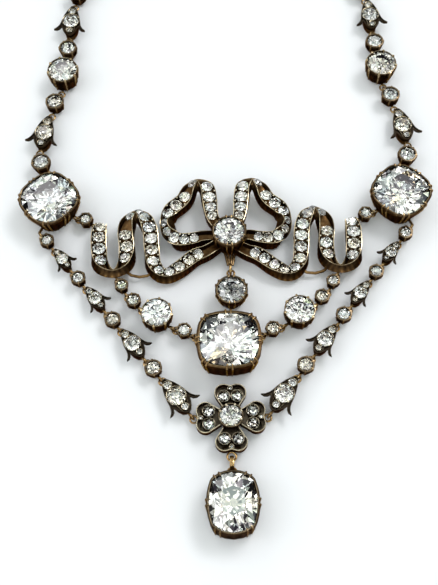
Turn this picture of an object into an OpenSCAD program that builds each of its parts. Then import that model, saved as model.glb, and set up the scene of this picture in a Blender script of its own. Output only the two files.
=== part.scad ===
// A diamond necklace lying flat: a bow, two festoons and two swags of small links under it,
// a flower cluster, an oval pendant, and a neck chain that closes in one loop at a plain clasp.
// Millimetres. The table is z = 0, the pendant lies towards -Y and the clasp towards +Y.

/* [Main stones] */
// Width of the cushion cut centre stone, flat to flat
centre_w = 11.1; // [10.8:0.1:11.6]
// Length of the centre stone, flat to flat
centre_l = 10.6; // [10.4:0.1:11]
// Width of each cushion cut side stone, flat to flat
side_w = 10.5; // [10.2:0.1:11]
// Width of the oval pendant stone
pendant_w = 8.6; // [8.2:0.1:9]
// Length of the oval pendant stone
pendant_l = 10.6; // [10.4:0.1:11]
// Radius of the round stone in the middle of the bow
knot_stone_r = 3; // [2.8:0.1:3.1]
// Radius of the round stone that hangs below the bow
drop_stone_r = 2.7; // [2.5:0.1:2.8]
// Radius of the round stone in the middle of the flower cluster
cluster_stone_r = 2; // [1.9:0.05:2.1]

/* [Collets] */
// Outer radius of a small round collet of the neck chain
small_r = 2; // [1.8:0.05:2.1]
// Height of a small round collet of the neck chain
small_h = 3.4; // [3.2:0.1:3.6]
// Outer radius of a medium round collet of the neck chain
medium_r = 3.3; // [3.2:0.05:3.65]
// Height of a medium round collet
medium_h = 5; // [4.8:0.1:5.2]
// Thickness of the rim round a small stone
rim = 0.28; // [0.26:0.01:0.32]
// Clearance between each stone and its seat
gap = 0.12; // [0.1:0.01:0.14]

/* [Links] */
// Radius of a soldered eye, to the middle of its wire
eye_r = 0.7; // [0.69:0.01:0.72]
// Radius of the eye wire
wire_r = 0.2; // [0.18:0.01:0.2]
// Length of a neck chain bell flower between its eyes
bell_len = 8.76; // [8.5:0.05:9]
// Height of every bell flower
bell_h = 2.9; // [2.8:0.05:3.1]

/* [Bow] */
// Thickness of the raised edges of the ribbon
ribbon_edge = 0.3; // [0.26:0.01:0.34]
// Rings of the swept ribbon for each row of its tables
ribbon_steps = 3; // [2:1:3]

/* [Hidden] */
$fn = 48;

// Interlocked eyes lie this far apart, at this height over the table
ring_pitch = 0.78;
eye_z = 0.95;
post_r = 0.28;
// A stone's girdle lies this far under the rim, less under a bell's or petal's flat top
girdle_drop = 0.3;
flat_girdle_drop = 0.2;
// Crown, pavilion and table as parts of a stone's width, and where its inner facet points lie
crown_part = 0.17;
pavilion_part = 0.42;
table_part = 0.54;
star_part = 0.77;
deep_part = 0.32;
// Large collets: rim, height of the upright lip, how far the foot is tucked in (below 0 it stands out),
// twin claws round the wall
big_rim = 0.5;
centre_rim = 0.7;
big_lip = 0.9;
centre_tuck = 0.1;
side_tuck = 1;
pendant_tuck = -0.3;
drop_tuck = 0.6;
knot_tuck = 0.5;
rib_r = 0.34;
rib_foot = 0.1;
rib_rise = 0.2;
twin_half = 0.48;
centre_claws = 8;
side_claws = 8;
pendant_claws = 6;
round_claws = 6;
// Small collets: foot and belly as parts of the rim's radius, where the belly lies, upright lip, step
foot_part = 0.5;
belly_part = 0.86;
belly_z = 1;
small_lip = 0.6;
lip_step = 0.06;
medium_from_r = 2.5;
height_per_r = 0.6;
// A post is sunk this far into what carries it, or starts this far from a large collet's middle
post_root = 0.4;
bell_post_l = 1.3;
anchor_root = 3.2;
anchor_sink = 0.1;

// A stone's outline: half width, radius of its sides, corner radius (0 is round), then half length
// and radius of its ends (0 where the corners' circle makes the ends too)
HALF = 0;
BULGE = 1;
CORNER = 2;
LONG = 3;
END_BULGE = 4;
// Radii of sides and corners, as parts of the stone's width
cushion_bulge = 1.22;
centre_corner = 0.55;
side_corner = 0.54;
oval_bulge = 1.3;
function round_shape(r) = [r, r, 0, r, r];
function cushion_shape(w, l, corner) =
    [w / 2, w * cushion_bulge, w * corner, l / 2, w * cushion_bulge];
function oval_shape(w, l) = [w / 2, w * oval_bulge, l / 2, l / 2, 0];
centre_shape = cushion_shape(centre_w, centre_l, centre_corner);
side_shape = cushion_shape(side_w, side_w, side_corner);
pendant_shape = oval_shape(pendant_w, pendant_l);

// Places on the right half, mirrored for the left
side_at = [35.8, 19.35];
side_turn = 48;
centre_at = [0, -12.5];
knot_at = [0.6, 10.85];
drop_at = [0.75, -1.6];
cluster_at = [0, -26.75];
pendant_at = [0, -43.1];
bow_link_at = [28.6, 15.9];
centre_h = 6.3;
side_h = 6;
pendant_h = 5.8;
knot_h = 6;
drop_h = 5;
cluster_h = 4.2;

// Links: kind, size, half length to the first eye, half length to the second eye
KIND = 0;
SIZE = 1;
FIRST = 2;
SECOND = 3;
COLLET = "collet";
BELL = "bell";
bell_apex_part = 0.46;
function collet_row(r, half) = [COLLET, r, half, half];
function bell_row(len) = [BELL, len, len * bell_apex_part, len * (1 - bell_apex_part)];
function foot_first(row) = [row[KIND], row[SIZE], row[SECOND], row[FIRST]];
small_row = collet_row(small_r, 2.7);
medium_row = collet_row(medium_r, 3.86);
neck_bell_row = foot_first(bell_row(bell_len));

// Neck chain: one period of links, how often it repeats, and the heading of each link in degrees
neck_period = [small_row, neck_bell_row, small_row, medium_row];
neck_periods = 5;
neck_links = [for (n = [1 : neck_periods]) each neck_period];
neck_start = [37.7, 26.6];
seen_headings = [75, 102, 108, 99, 88, 95, 105];
straight_count = 7;
straight_heading = 87;
arch_count = len(neck_links) - len(seen_headings) - straight_count;
arch_step = (180 - straight_heading) / arch_count;
neck_headings = concat(
    seen_headings,
    [for (n = [1 : straight_count]) straight_heading],
    [for (n = [1 : arch_count]) straight_heading + (n - 0.5) * arch_step]);
// Bells past this link carry their middle stone alone
neck_seen_links = 7;

// Swag: small collets and bells in turn, growing towards the cluster
swag_links = [
    collet_row(1.45, 1.75), bell_row(5.75),
    collet_row(1.5, 1.8), bell_row(6.3),
    collet_row(1.6, 1.9), bell_row(7.55),
    collet_row(1.7, 2), bell_row(8.8)];
swag_start = [37.6, 12.9];
swag_headings = [for (row = swag_links) -127.9];

// Festoon: two small collets, a medium one and a small one
festoon_links = [
    collet_row(1.35, 1.67), collet_row(1.5, 1.67), collet_row(3.05, 3.55), collet_row(1.5, 1.67)];
festoon_start = [21.9, 2.67];
festoon_headings = [-118, -133, -147, -157];

// The link between a side setting and the bow
bow_link_row = collet_row(1.45, 1.75);
bow_link_heading = 207;

// The joints of a laid chain, and the place of each link's middle
function heading(a) = [cos(a), sin(a)];
function span(row) = row[FIRST] + row[SECOND] + ring_pitch;
function joints(rows, turns, at, n = 0) =
    n == len(rows) ? [at] : concat([at], joints(rows, turns, at + span(rows[n]) * heading(turns[n]), n + 1));
function middle(row, joint, turn) = joint + (ring_pitch / 2 + row[FIRST]) * heading(turn);
neck_joints = joints(neck_links, neck_headings, neck_start);
swag_joints = joints(swag_links, swag_headings, swag_start);
festoon_joints = joints(festoon_links, festoon_headings, festoon_start);
neck_end = neck_joints[len(neck_links)];
swag_end = swag_joints[len(swag_links)];
festoon_end = festoon_joints[len(festoon_links)];

// Ribbon tables for the right half: x, y, height of the face, roll, width, depth
X = 0;
Y = 1;
Z = 2;
ROLL = 3;
WIDTH = 4;
DEPTH = 5;
tail_rows = [
    [25.3, 14.4, 3.5, 0, 2.3, 1.3],
    [25.7, 12.4, 3.6, 0, 3.1, 2.5],
    [25.6, 8.6, 3.3, 5, 3.2, 2.8],
    [24.9, 5.9, 2.9, 30, 2.9, 2.1],
    [22.8, 4.3, 2.7, 60, 2.7, 1.6],
    [20.8, 5.9, 2.9, 30, 2.9, 2.1],
    [20.1, 8.8, 3.3, 5, 3.1, 2.8],
    [20.4, 12.4, 3.8, 5, 3.1, 2.7],
    [20, 15, 4.1, 30, 3, 1.9],
    [18.1, 16.7, 4.3, 55, 2.8, 1.3],
    [16.3, 15.2, 4.1, 18, 3, 1.9],
    [15.3, 12.2, 3.7, 0, 3.1, 2.8],
    [15, 8.4, 3.3, 5, 3.1, 2.8],
    [14.4, 5.2, 2.9, 16, 2.9, 2.2],
    [12.5, 3.5, 2.7, 28, 2.7, 2.1],
    [9.6, 4.5, 3.1, 10, 2.9, 2.5],
    [6.4, 6.7, 3.5, 0, 2.9, 2.8],
    [4, 7.7, 3.6, 0, 2.5, 2.8],
    [1.4, 9.5, 3.4, 0, 2.2, 2.6]];
loop_rows = [
    [1.5, 12.7, 4.4, 0, 2.2, 2.6],
    [2.8, 15.4, 4.3, 0, 2.6, 2.6],
    [3.2, 19.2, 4.2, -5, 3.1, 2.6],
    [3.7, 22.2, 4.3, -18, 3, 1.9],
    [5.7, 23.7, 4.4, -55, 2.8, 1.3],
    [7.5, 22, 4.3, -30, 3, 1.8],
    [8.7, 19.4, 4, -10, 3.1, 2.6],
    [11.2, 17.2, 3.7, -5, 3.1, 2.7],
    [12.6, 14.8, 3.5, -48, 2.7, 2],
    [12.1, 12.3, 3.3, -42, 2.7, 2.1],
    [9.8, 10.7, 3.2, 0, 2.9, 2.8],
    [7, 10.7, 3.3, 0, 2.6, 2.8],
    [4.6, 11.2, 3.4, 0, 2.3, 2.8],
    [1.4, 11.3, 3.2, 0, 2, 2.6]];
// Where each row of stones starts and ends on its table, and the roll past which there is none
tail_stone_runs = [[0.5, 7.3], [9.9, 16.7]];
loop_stone_runs = [[0.95, 3.4], [5.8, 7.6], [9.7, 11.9]];
stone_roll_limit = 29;
stone_space = 0.34;
// The channel that holds the stones, as parts of the ribbon's depth, and its small stones' shape
channel_part = 0.62;
narrow_part = 0.94;
bow_crown = 0.38;
girdle_sink = 0.12;
bow_gap = 0.2;
strut_r = 0.32;
lug_r = 0.36;
link_lug_h = 2;
hook_lug_h = 1.5;
strut_points = [[20.9, 5, 1.4], [19.2, 3.6, 1.3], [17.6, 3.2, 1.3], [16, 3.4, 1.3], [14.2, 4.6, 1.4]];

// The flower cluster's petals and their stones
petal_lobe_r = 1.72;
petal_lobe_at = [1.28, 4.75];
petal_waist = [[-1.2, 1.5], [-2.8, 3.9], [0, 5.4], [2.8, 3.9], [1.2, 1.5]];
petal_notch_at = 5.75;
petal_notch_r = 0.8;
petal_stone_r = 1.08;
petal_stone_at = [1.25, 4.1];
notch_stone_r = 0.5;
petal_z = 1.4;
petal_top = 3;
lobe_foot = 0.6;
lobe_top = 0.8;
cluster_tuck = 0.2;
cluster_rim = 0.4;

// The drop's ring and the pendant's bail
drop_ring_r = 1;
drop_ring_wire = 0.28;
drop_ring_at = [0.7, 4.5];
drop_ring_z = 1.35;
stem_low_w = 1.3;
stem_high_w = 2.8;
stem_l = 3.4;
stem_z = 0.7;
stem_h = 1.3;
drop_post_from = 1.4;
drop_post_r = 0.34;
pendant_post_from = 3.8;
pendant_post_r = 0.4;
bail_r = 1.45;
bail_band = 0.3;
bail_w = 0.8;
bail_z = 1.65;
bail_at = [0, -35.4];
bail_eye_r = 0.82;

// A bell flower of full size: half width and place of each corner, apex to foot
bell_full = 8.76;
bell_half = [
    [0.34, 3.75], [0.72, 3.2], [1.22, 2.3], [1.66, 1.2], [1.96, 0.1], [2.14, -0.9], [2.4, -1.7],
    [2.85, -2.4], [3.5, -2.95], [2.8, -2.95], [2.25, -2.6], [1.88, -2], [1.7, -2.75], [1.35, -3.45],
    [0.8, -4.05]];
bell_foot = [0, -4.3];
keel_half = [[0.3, 3.1], [0.9, 2], [1.35, 0.6], [1.5, -0.8], [1.35, -2.2], [0.9, -3.3], [0.3, -3.7]];
bell_keel_h = 1.3;
// Stones of a bell: place along it and radius, the middle stone first
bell_stones = [[-0.3, 1.58], [2.35, 0.6], [-2.95, 0.6]];

// Where the loop closes, and the frame's middle
clasp_half = neck_end[X] - ring_pitch / 2;
clasp_w = 4.4;
clasp_h = 2.6;
clasp_neck = 1;
last_link = len(neck_links) - 1;
last_collet = middle(neck_links[last_link], neck_joints[last_link], neck_headings[last_link]);
back_y = max(neck_end[Y] + clasp_w / 2, last_collet[Y] + medium_r);
front_y = pendant_at[Y] - pendant_shape[LONG] - big_rim;
mid_y = (back_y + front_y) / 2;

silver = [0.42, 0.4, 0.38];
gold = [0.78, 0.6, 0.32];
stone_white = [0.93, 0.95, 0.97];

// Places are given from the middle of the front, and moved so that the origin is the middle along Y
module framed() translate([0, -mid_y, 0]) children();
module right() framed() children();
module left() framed() mirror([1, 0, 0]) children();
module at(p, z = 0, turn = 0) translate([p[X], p[Y], z]) rotate([0, 0, turn]) children();

// The sides that a stone's outline has, and the half width and bulge of each, the ends being the odd ones
function sides_of(s) = s[END_BULGE] == 0 ? [0, 2] : [0 : 3];
function half_of(s, n) = s[n % 2 == 0 ? HALF : LONG];
function bulge_of(s, n) = s[n % 2 == 0 ? BULGE : END_BULGE];
// How far a stone's outline lies from its middle in a direction
function side_reach(s, a, n) =
    let (bulge = bulge_of(s, n), off = bulge - half_of(s, n), u = a - n * 90)
    sqrt(pow(bulge, 2) - pow(off * sin(u), 2)) - off * cos(u);
function reach(s, a) = s[CORNER] == 0 ? s[HALF] : min([s[CORNER], for (n = sides_of(s)) side_reach(s, a, n)]);

// An upright tapered block of a stone's outline, grown or shrunk by low at its foot and high on top
module taper(s, low, high, h) {
    if (s[CORNER] == 0) {
        cylinder(r1 = s[HALF] + low, r2 = s[HALF] + high, h = h);
    } else {
        intersection() {
            cylinder(r1 = s[CORNER] + low, r2 = s[CORNER] + high, h = h);
            intersection_for (n = sides_of(s))
                rotate([0, 0, n * 90])
                translate([half_of(s, n) - bulge_of(s, n), 0, 0])
                cylinder(r1 = bulge_of(s, n) + low, r2 = bulge_of(s, n) + high, h = h, $fn = 144);
        }
    }
}

// The pit that a stone sits in, under a rim at height h
module seat(s, h, drop = girdle_drop) {
    depth = pavilion_part * 2 * s[HALF];
    low = min(s[HALF] - 0.25, s[HALF] * 0.88);
    straight = drop + gap;
    translate([0, 0, h - straight - depth]) taper(s, -low, gap, depth);
    translate([0, 0, h - straight]) taper(s, gap, gap, straight + 1);
}

// A rib or claw that climbs a setting's wall
module rib(s, h, tuck, a, lip_w) {
    low = [reach(s, a) - tuck, rib_r + rib_foot];
    high = [reach(s, a) + lip_w, h];
    rise = high - low;
    rotate([0, 0, a])
        translate([low[0], 0, low[1]])
        rotate([0, atan2(rise[0], rise[1]), 0])
        cylinder(r = rib_r, h = norm(rise) + rib_rise);
}

// A large collet: tapered wall, upright lip, twin ribs that end in claws
module large_setting(s, h, tuck, claws, lip_w = big_rim) {
    difference() {
        union() {
            taper(s, -tuck, lip_w, h - big_lip);
            translate([0, 0, h - big_lip]) taper(s, lip_w, lip_w, big_lip);
            for (n = [1 : claws], side = [-1, 1])
                let (a = n * 360 / claws) rib(s, h, tuck, a + side * atan(twin_half / reach(s, a)), lip_w);
        }
        seat(s, h);
    }
}

// A small round collet of outer radius r
module collet_body(r, h) {
    s = round_shape(r - rim);
    difference() {
        union() {
            cylinder(r1 = r * foot_part, r2 = r * belly_part, h = belly_z);
            translate([0, 0, belly_z])
                cylinder(r1 = r * belly_part, r2 = r - lip_step, h = h - small_lip + lip_step - belly_z);
            translate([0, 0, h - small_lip]) cylinder(r = r, h = small_lip);
        }
        seat(s, h);
    }
}

// A stone of eight crown facets and eight pavilion facets, girdle at z = 0
module small_stone(r, crown, pavilion) {
    ring = [for (n = [0 : 7]) heading((n + 0.5) * 45)];
    top = [for (p = ring) [p[X] * r * table_part, p[Y] * r * table_part, crown]];
    edge = [for (p = ring) [p[X] * r, p[Y] * r, 0]];
    polyhedron(
        points = concat(top, edge, [[0, 0, -pavilion]]),
        faces = concat(
            [[for (n = [7 : -1 : 0]) n]],
            [for (n = [0 : 7]) [n, (n + 1) % 8, 8 + (n + 1) % 8]],
            [for (n = [0 : 7]) [n, 8 + (n + 1) % 8, 8 + n]],
            [for (n = [0 : 7]) [8 + n, 8 + (n + 1) % 8, 16]]));
}
module plain_stone(r) small_stone(r, crown_part * 2 * r, pavilion_part * 2 * r);

// A brilliant of the outline s: table, eight stars, eight kites, sixteen halves above and below
module brilliant(s) {
    crown = crown_part * 2 * s[HALF];
    pavilion = pavilion_part * 2 * s[HALF];
    half_turn = cos(22.5);
    star_z = crown * (1 - (star_part * half_turn - table_part) / (1 - table_part));
    deep_z = -pavilion * (1 - deep_part * half_turn);
    function ring(part, z, from, step) =
        [for (n = [0 : 360 / step - 1])
            let (a = from + n * step) [reach(s, a) * part * cos(a), reach(s, a) * part * sin(a), z]];
    points = concat(
        ring(table_part, crown, 0, 45), ring(star_part, star_z, 22.5, 45), ring(1, 0, 0, 22.5),
        ring(deep_part, deep_z, 22.5, 45), [[0, 0, -pavilion]]);
    function t(n) = (n + 8) % 8;
    function st(n) = 8 + (n + 8) % 8;
    function g(n) = 16 + (n + 16) % 16;
    function d(n) = 32 + (n + 8) % 8;
    culet = 40;
    polyhedron(
        points = points,
        faces = concat(
            [[for (n = [7 : -1 : 0]) n]],
            [for (n = [0 : 7]) each [
                [t(n), t(n + 1), st(n)],
                [t(n), st(n), g(2 * n)], [t(n), g(2 * n), st(n - 1)],
                [st(n), g(2 * n + 1), g(2 * n)], [st(n), g(2 * n + 2), g(2 * n + 1)],
                [d(n), g(2 * n), g(2 * n + 1)], [d(n), g(2 * n + 1), g(2 * n + 2)],
                [culet, d(n - 1), g(2 * n)], [culet, g(2 * n), d(n)]]]));
}

// Eyes that lie flat or stand along X, round a point on the X axis
module flat_eye(x, r = eye_r, wire = wire_r, z = eye_z)
    translate([x, 0, z]) rotate_extrude() translate([r, 0]) circle(r = wire, $fn = 24);
module upright_eye(x, r = eye_r, wire = wire_r, z = eye_z)
    translate([x, 0, z]) rotate([90, 0, 0]) rotate_extrude() translate([r, 0]) circle(r = wire, $fn = 24);
// A post along X that carries an eye
module post(from, to, z = eye_z, r = post_r)
    translate([min(from, to), 0, z]) rotate([0, 90, 0]) cylinder(r = r, h = abs(to - from), $fn = 24);

// One link along X: a flat eye at its first end, an upright eye at its second
module link(row) {
    foot_leads = row[KIND] == BELL && row[FIRST] > row[SECOND];
    if (row[KIND] == COLLET) {
        difference() {
            union() {
                collet_body(row[SIZE], collet_h(row[SIZE]));
                post(-row[FIRST] + eye_r, -row[SIZE] * post_root);
                post(row[SECOND] - eye_r, row[SIZE] * post_root);
                flat_eye(-row[FIRST]);
                upright_eye(row[SECOND]);
            }
            seat(round_shape(row[SIZE] - rim), collet_h(row[SIZE]));
        }
    } else {
        bell_body(row[SIZE] / bell_full, foot_leads);
        post(-row[FIRST] + eye_r, -row[FIRST] + bell_post_l);
        post(row[SECOND] - eye_r, row[SECOND] - bell_post_l);
        flat_eye(-row[FIRST]);
        upright_eye(row[SECOND]);
    }
}
function collet_h(r) = r > medium_from_r ? medium_h : small_h - (small_r - r) * height_per_r;

// A bell flower with its apex towards -X, or towards +X where its foot leads
module bell_body(k, foot_leads) {
    rotate([0, 0, foot_leads ? -90 : 90])
    difference() {
        union() {
            translate([0, 0, bell_keel_h]) linear_extrude(bell_h - bell_keel_h)
                polygon(concat(
                    [for (p = bell_half) [p[X], p[Y]] * k], [bell_foot * k],
                    [for (n = [len(bell_half) - 1 : -1 : 0]) [-bell_half[n][X], bell_half[n][Y]] * k]));
            linear_extrude(bell_keel_h)
                polygon(concat(
                    [for (p = keel_half) [p[X], p[Y]] * k],
                    [for (n = [len(keel_half) - 1 : -1 : 0]) [-keel_half[n][X], keel_half[n][Y]] * k]));
        }
        for (row = bell_stones)
            translate([0, row[0] * k, 0]) seat(round_shape(row[1] * k), bell_h, flat_girdle_drop);
    }
}
module bell_gems(k, foot_leads, count) {
    rotate([0, 0, foot_leads ? -90 : 90])
        for (n = [0 : count - 1])
            translate([0, bell_stones[n][0] * k, bell_h - flat_girdle_drop])
                plain_stone(bell_stones[n][1] * k);
}

// The stones of one link
module link_gems(row, count) {
    if (row[KIND] == COLLET) {
        g = row[SIZE] - rim;
        translate([0, 0, collet_h(row[SIZE]) - girdle_drop])
            if (row[SIZE] > medium_from_r) brilliant(round_shape(g)); else plain_stone(g);
    } else {
        bell_gems(row[SIZE] / bell_full, row[FIRST] > row[SECOND], count);
    }
}

// A laid chain's links or stones, each turned along its heading
module lay(rows, at_joints, turns, n)
    at(middle(rows[n], at_joints[n], turns[n]), 0, turns[n]) children();

// An eye that belongs to a body at hub and meets the chain joint, and the post to the back of it
module anchor(hub, joint, turn, flat) {
    side = flat ? 1 : -1;
    eye = joint + side * ring_pitch / 2 * heading(turn);
    away = eye + side * eye_r * heading(turn) - hub;
    at(eye, 0, turn) if (flat) flat_eye(0); else upright_eye(0);
    at(hub, 0, atan2(away[Y], away[X])) post(anchor_root, norm(away) + anchor_sink);
}

module centre_setting() color(gold) framed() {
    at(centre_at) large_setting(centre_shape, centre_h, centre_tuck, centre_claws, centre_rim);
    for (m = [0, 1]) mirror([m, 0, 0])
        anchor(centre_at, festoon_end, festoon_headings[3], true);
}
module centre_stone() color(stone_white) framed()
    at(centre_at, centre_h - girdle_drop) brilliant(centre_shape);

module side_setting() {
    at(side_at, 0, side_turn) large_setting(side_shape, side_h, side_tuck, side_claws);
    anchor(side_at, neck_start, neck_headings[0], false);
    anchor(side_at, swag_start, swag_headings[0], false);
    anchor(side_at, bow_link_start, bow_link_heading, false);
}
module side_setting_right() color(gold) right() side_setting();
module side_setting_left() color(gold) left() side_setting();
module side_stone() at(side_at, side_h - girdle_drop, side_turn) brilliant(side_shape);
module side_stone_right() color(stone_white) right() side_stone();
module side_stone_left() color(stone_white) left() side_stone();

bow_link_start = bow_link_at - (ring_pitch / 2 + bow_link_row[FIRST]) * heading(bow_link_heading);
bow_link_end = bow_link_at + (ring_pitch / 2 + bow_link_row[SECOND]) * heading(bow_link_heading);
module bow_link() at(bow_link_at, 0, bow_link_heading) link(bow_link_row);
module bow_link_right() color(silver) right() bow_link();
module bow_link_left() color(silver) left() bow_link();
module bow_link_stone() at(bow_link_at, 0, bow_link_heading) link_gems(bow_link_row, 1);
module bow_link_stone_right() color(stone_white) right() bow_link_stone();
module bow_link_stone_left() color(stone_white) left() bow_link_stone();

// A smooth curve through the rows of a table, at t rows from its start
function nth(rows, n) = rows[max(0, min(len(rows) - 1, n))];
function along(rows, t) =
    let (
        n = max(0, min(floor(t), len(rows) - 2)), u = t - n,
        a = nth(rows, n - 1), b = nth(rows, n), c = nth(rows, n + 1), d = nth(rows, n + 2))
    0.5 * (2 * b + (c - a) * u + (2 * a - 5 * b + 4 * c - d) * u * u + (3 * (b - c) - a + d) * u * u * u);
function flat_of(row) = [row[X], row[Y]];
function place_of(row) = [row[X], row[Y], row[Z]];
// Unit vector along the ribbon, then across it, then out of its face
function run(rows, t) =
    let (d = flat_of(along(rows, min(t + 0.01, len(rows) - 1)) - along(rows, max(t - 0.01, 0))))
    d / norm(d);
function across(rows, t) =
    let (r = run(rows, t), roll = along(rows, t)[ROLL])
    [-r[Y] * cos(roll), r[X] * cos(roll), sin(roll)];
function face_out(rows, t) =
    let (r = run(rows, t), roll = along(rows, t)[ROLL])
    [r[Y] * sin(roll), -r[X] * sin(roll), cos(roll)];
// The ribbon's section: an upright edge on each side of a channel
function section(w, d) =
    let (e = w / 2, i = w / 2 - ribbon_edge, b = w / 2 * narrow_part)
    [[-b, -d], [-e, 0], [-i, 0], [-i, -d * channel_part],
     [i, -d * channel_part], [i, 0], [e, 0], [b, -d]];
function ribbon_ring(rows, t) =
    let (row = along(rows, t), w = across(rows, t), f = face_out(rows, t))
    [for (p = section(row[WIDTH], row[DEPTH])) place_of(row) + p[0] * w + p[1] * f];
module ribbon(rows) {
    count = (len(rows) - 1) * ribbon_steps;
    rings = [for (n = [0 : count]) each ribbon_ring(rows, n / ribbon_steps)];
    last = count * 8;
    polyhedron(
        points = rings,
        faces = concat(
            [[0, 3, 2, 1], [0, 7, 4, 3], [4, 7, 6, 5]],
            [for (n = [0 : count - 1], m = [0 : 7]) each
                let (a = n * 8 + m, b = n * 8 + (m + 1) % 8) [[a, b, b + 8], [a, b + 8, a + 8]]],
            [[last, last + 1, last + 2, last + 3], [last, last + 3, last + 4, last + 7],
             [last + 4, last + 5, last + 6, last + 7]]));
}

// Stones along a ribbon: each as wide as the channel there, one after the other
function ribbon_stone_r(rows, t) = along(rows, t)[WIDTH] / 2 - ribbon_edge - bow_gap;
function stone_step(rows, from, t) =
    norm(place_of(along(rows, t)) - place_of(along(rows, from)))
        >= ribbon_stone_r(rows, from) + ribbon_stone_r(rows, t) + stone_space
    ? t : stone_step(rows, from, t + 0.02);
function stone_places(rows, t, end) =
    t > end ? [] : concat(
        abs(along(rows, t)[ROLL]) < stone_roll_limit ? [t] : [],
        stone_places(rows, stone_step(rows, t, t + 0.1), end));
module ribbon_gems(rows, runs) {
    for (range = runs, t = stone_places(rows, range[0], range[1])) {
        row = along(rows, t);
        r = run(rows, t);
        translate(place_of(row) - girdle_sink * face_out(rows, t))
            rotate([0, 0, atan2(r[Y], r[X])])
            rotate([row[ROLL], 0, 0])
            small_stone(
                ribbon_stone_r(rows, t), bow_crown, row[DEPTH] * channel_part - girdle_sink - bow_gap);
    }
}

module strut(points) {
    for (n = [0 : len(points) - 2]) {
        d = points[n + 1] - points[n];
        translate(points[n])
            rotate([0, atan2(norm([d[X], d[Y]]), d[Z]), atan2(d[Y], d[X])])
            cylinder(r = strut_r, h = norm(d), $fn = 24);
    }
    for (n = [1 : len(points) - 2]) translate(points[n]) sphere(r = strut_r, $fn = 24);
}

module bow_half() {
    ribbon(tail_rows);
    ribbon(loop_rows);
    strut(strut_points);
    // The lug and eye that take the link from the side setting
    lug_at = bow_link_end + (ring_pitch / 2 + eye_r) * heading(bow_link_heading);
    at(bow_link_end + ring_pitch / 2 * heading(bow_link_heading), 0, bow_link_heading) flat_eye(0);
    at(lug_at, eye_z - post_r) cylinder(r = lug_r, h = link_lug_h, $fn = 24);
    // The lug and eye that take the festoon
    hook_at = festoon_start - (ring_pitch / 2 + eye_r) * heading(festoon_headings[0]);
    at(festoon_start - ring_pitch / 2 * heading(festoon_headings[0]), 0, festoon_headings[0])
        upright_eye(0);
    at(hook_at, eye_z - post_r) cylinder(r = lug_r, h = hook_lug_h, $fn = 24);
}
module bow_ribbon() color(silver) framed() {
    difference() {
        union() {
            for (m = [0, 1]) mirror([m, 0, 0]) bow_half();
            at(knot_at, 0, 90) large_setting(round_shape(knot_stone_r), knot_h, knot_tuck, round_claws);
            at(drop_ring_at, 0, 90) {
                upright_eye(0, drop_ring_r, drop_ring_wire, drop_ring_z);
                translate([drop_ring_r - anchor_sink, 0, stem_z])
                    linear_extrude(stem_h)
                    polygon([[0, -stem_low_w / 2], [stem_l, -stem_high_w / 2],
                             [stem_l, stem_high_w / 2], [0, stem_low_w / 2]]);
            }
        }
        at(knot_at) seat(round_shape(knot_stone_r), knot_h);
    }
}
module bow_stones() color(stone_white) framed()
    for (m = [0, 1]) mirror([m, 0, 0]) {
        ribbon_gems(tail_rows, tail_stone_runs);
        ribbon_gems(loop_rows, loop_stone_runs);
    }
module knot_stone() color(stone_white) framed()
    at(knot_at, knot_h - girdle_drop) brilliant(round_shape(knot_stone_r));

module bow_drop_setting() color(silver) framed() at(drop_at, 0, 90) {
    eye_x = drop_ring_at[Y] - drop_ring_r - drop_at[Y];
    difference() {
        union() {
            large_setting(round_shape(drop_stone_r), drop_h, drop_tuck, round_claws);
            post(drop_post_from, eye_x - eye_r + anchor_sink, drop_ring_z, drop_post_r);
            flat_eye(eye_x, eye_r, wire_r, drop_ring_z);
        }
        seat(round_shape(drop_stone_r), drop_h);
    }
}
module bow_drop_stone() color(stone_white) framed()
    at(drop_at, drop_h - girdle_drop) brilliant(round_shape(drop_stone_r));

// One swag or festoon link, and all the stones of a chain
module swag_link(n) lay(swag_links, swag_joints, swag_headings, n) link(swag_links[n]);
module festoon_link(n) lay(festoon_links, festoon_joints, festoon_headings, n) link(festoon_links[n]);
module chain_gems(rows, at_joints, turns, full) {
    for (n = [0 : len(rows) - 1])
        lay(rows, at_joints, turns, n) link_gems(rows[n], n < full ? len(bell_stones) : 1);
}
module swag_gems() chain_gems(swag_links, swag_joints, swag_headings, len(swag_links));
module festoon_gems() chain_gems(festoon_links, festoon_joints, festoon_headings, 0);
module swag_link_1_right() color(silver) right() swag_link(0);
module swag_link_2_right() color(silver) right() swag_link(1);
module swag_link_3_right() color(silver) right() swag_link(2);
module swag_link_4_right() color(silver) right() swag_link(3);
module swag_link_5_right() color(silver) right() swag_link(4);
module swag_link_6_right() color(silver) right() swag_link(5);
module swag_link_7_right() color(silver) right() swag_link(6);
module swag_link_8_right() color(silver) right() swag_link(7);
module swag_link_1_left() color(silver) left() swag_link(0);
module swag_link_2_left() color(silver) left() swag_link(1);
module swag_link_3_left() color(silver) left() swag_link(2);
module swag_link_4_left() color(silver) left() swag_link(3);
module swag_link_5_left() color(silver) left() swag_link(4);
module swag_link_6_left() color(silver) left() swag_link(5);
module swag_link_7_left() color(silver) left() swag_link(6);
module swag_link_8_left() color(silver) left() swag_link(7);
module swag_stones_right() color(stone_white) right() swag_gems();
module swag_stones_left() color(stone_white) left() swag_gems();
module festoon_link_1_right() color(silver) right() festoon_link(0);
module festoon_link_2_right() color(silver) right() festoon_link(1);
module festoon_link_3_right() color(silver) right() festoon_link(2);
module festoon_link_4_right() color(silver) right() festoon_link(3);
module festoon_link_1_left() color(silver) left() festoon_link(0);
module festoon_link_2_left() color(silver) left() festoon_link(1);
module festoon_link_3_left() color(silver) left() festoon_link(2);
module festoon_link_4_left() color(silver) left() festoon_link(3);
module festoon_stones_right() color(stone_white) right() festoon_gems();
module festoon_stones_left() color(stone_white) left() festoon_gems();

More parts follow.
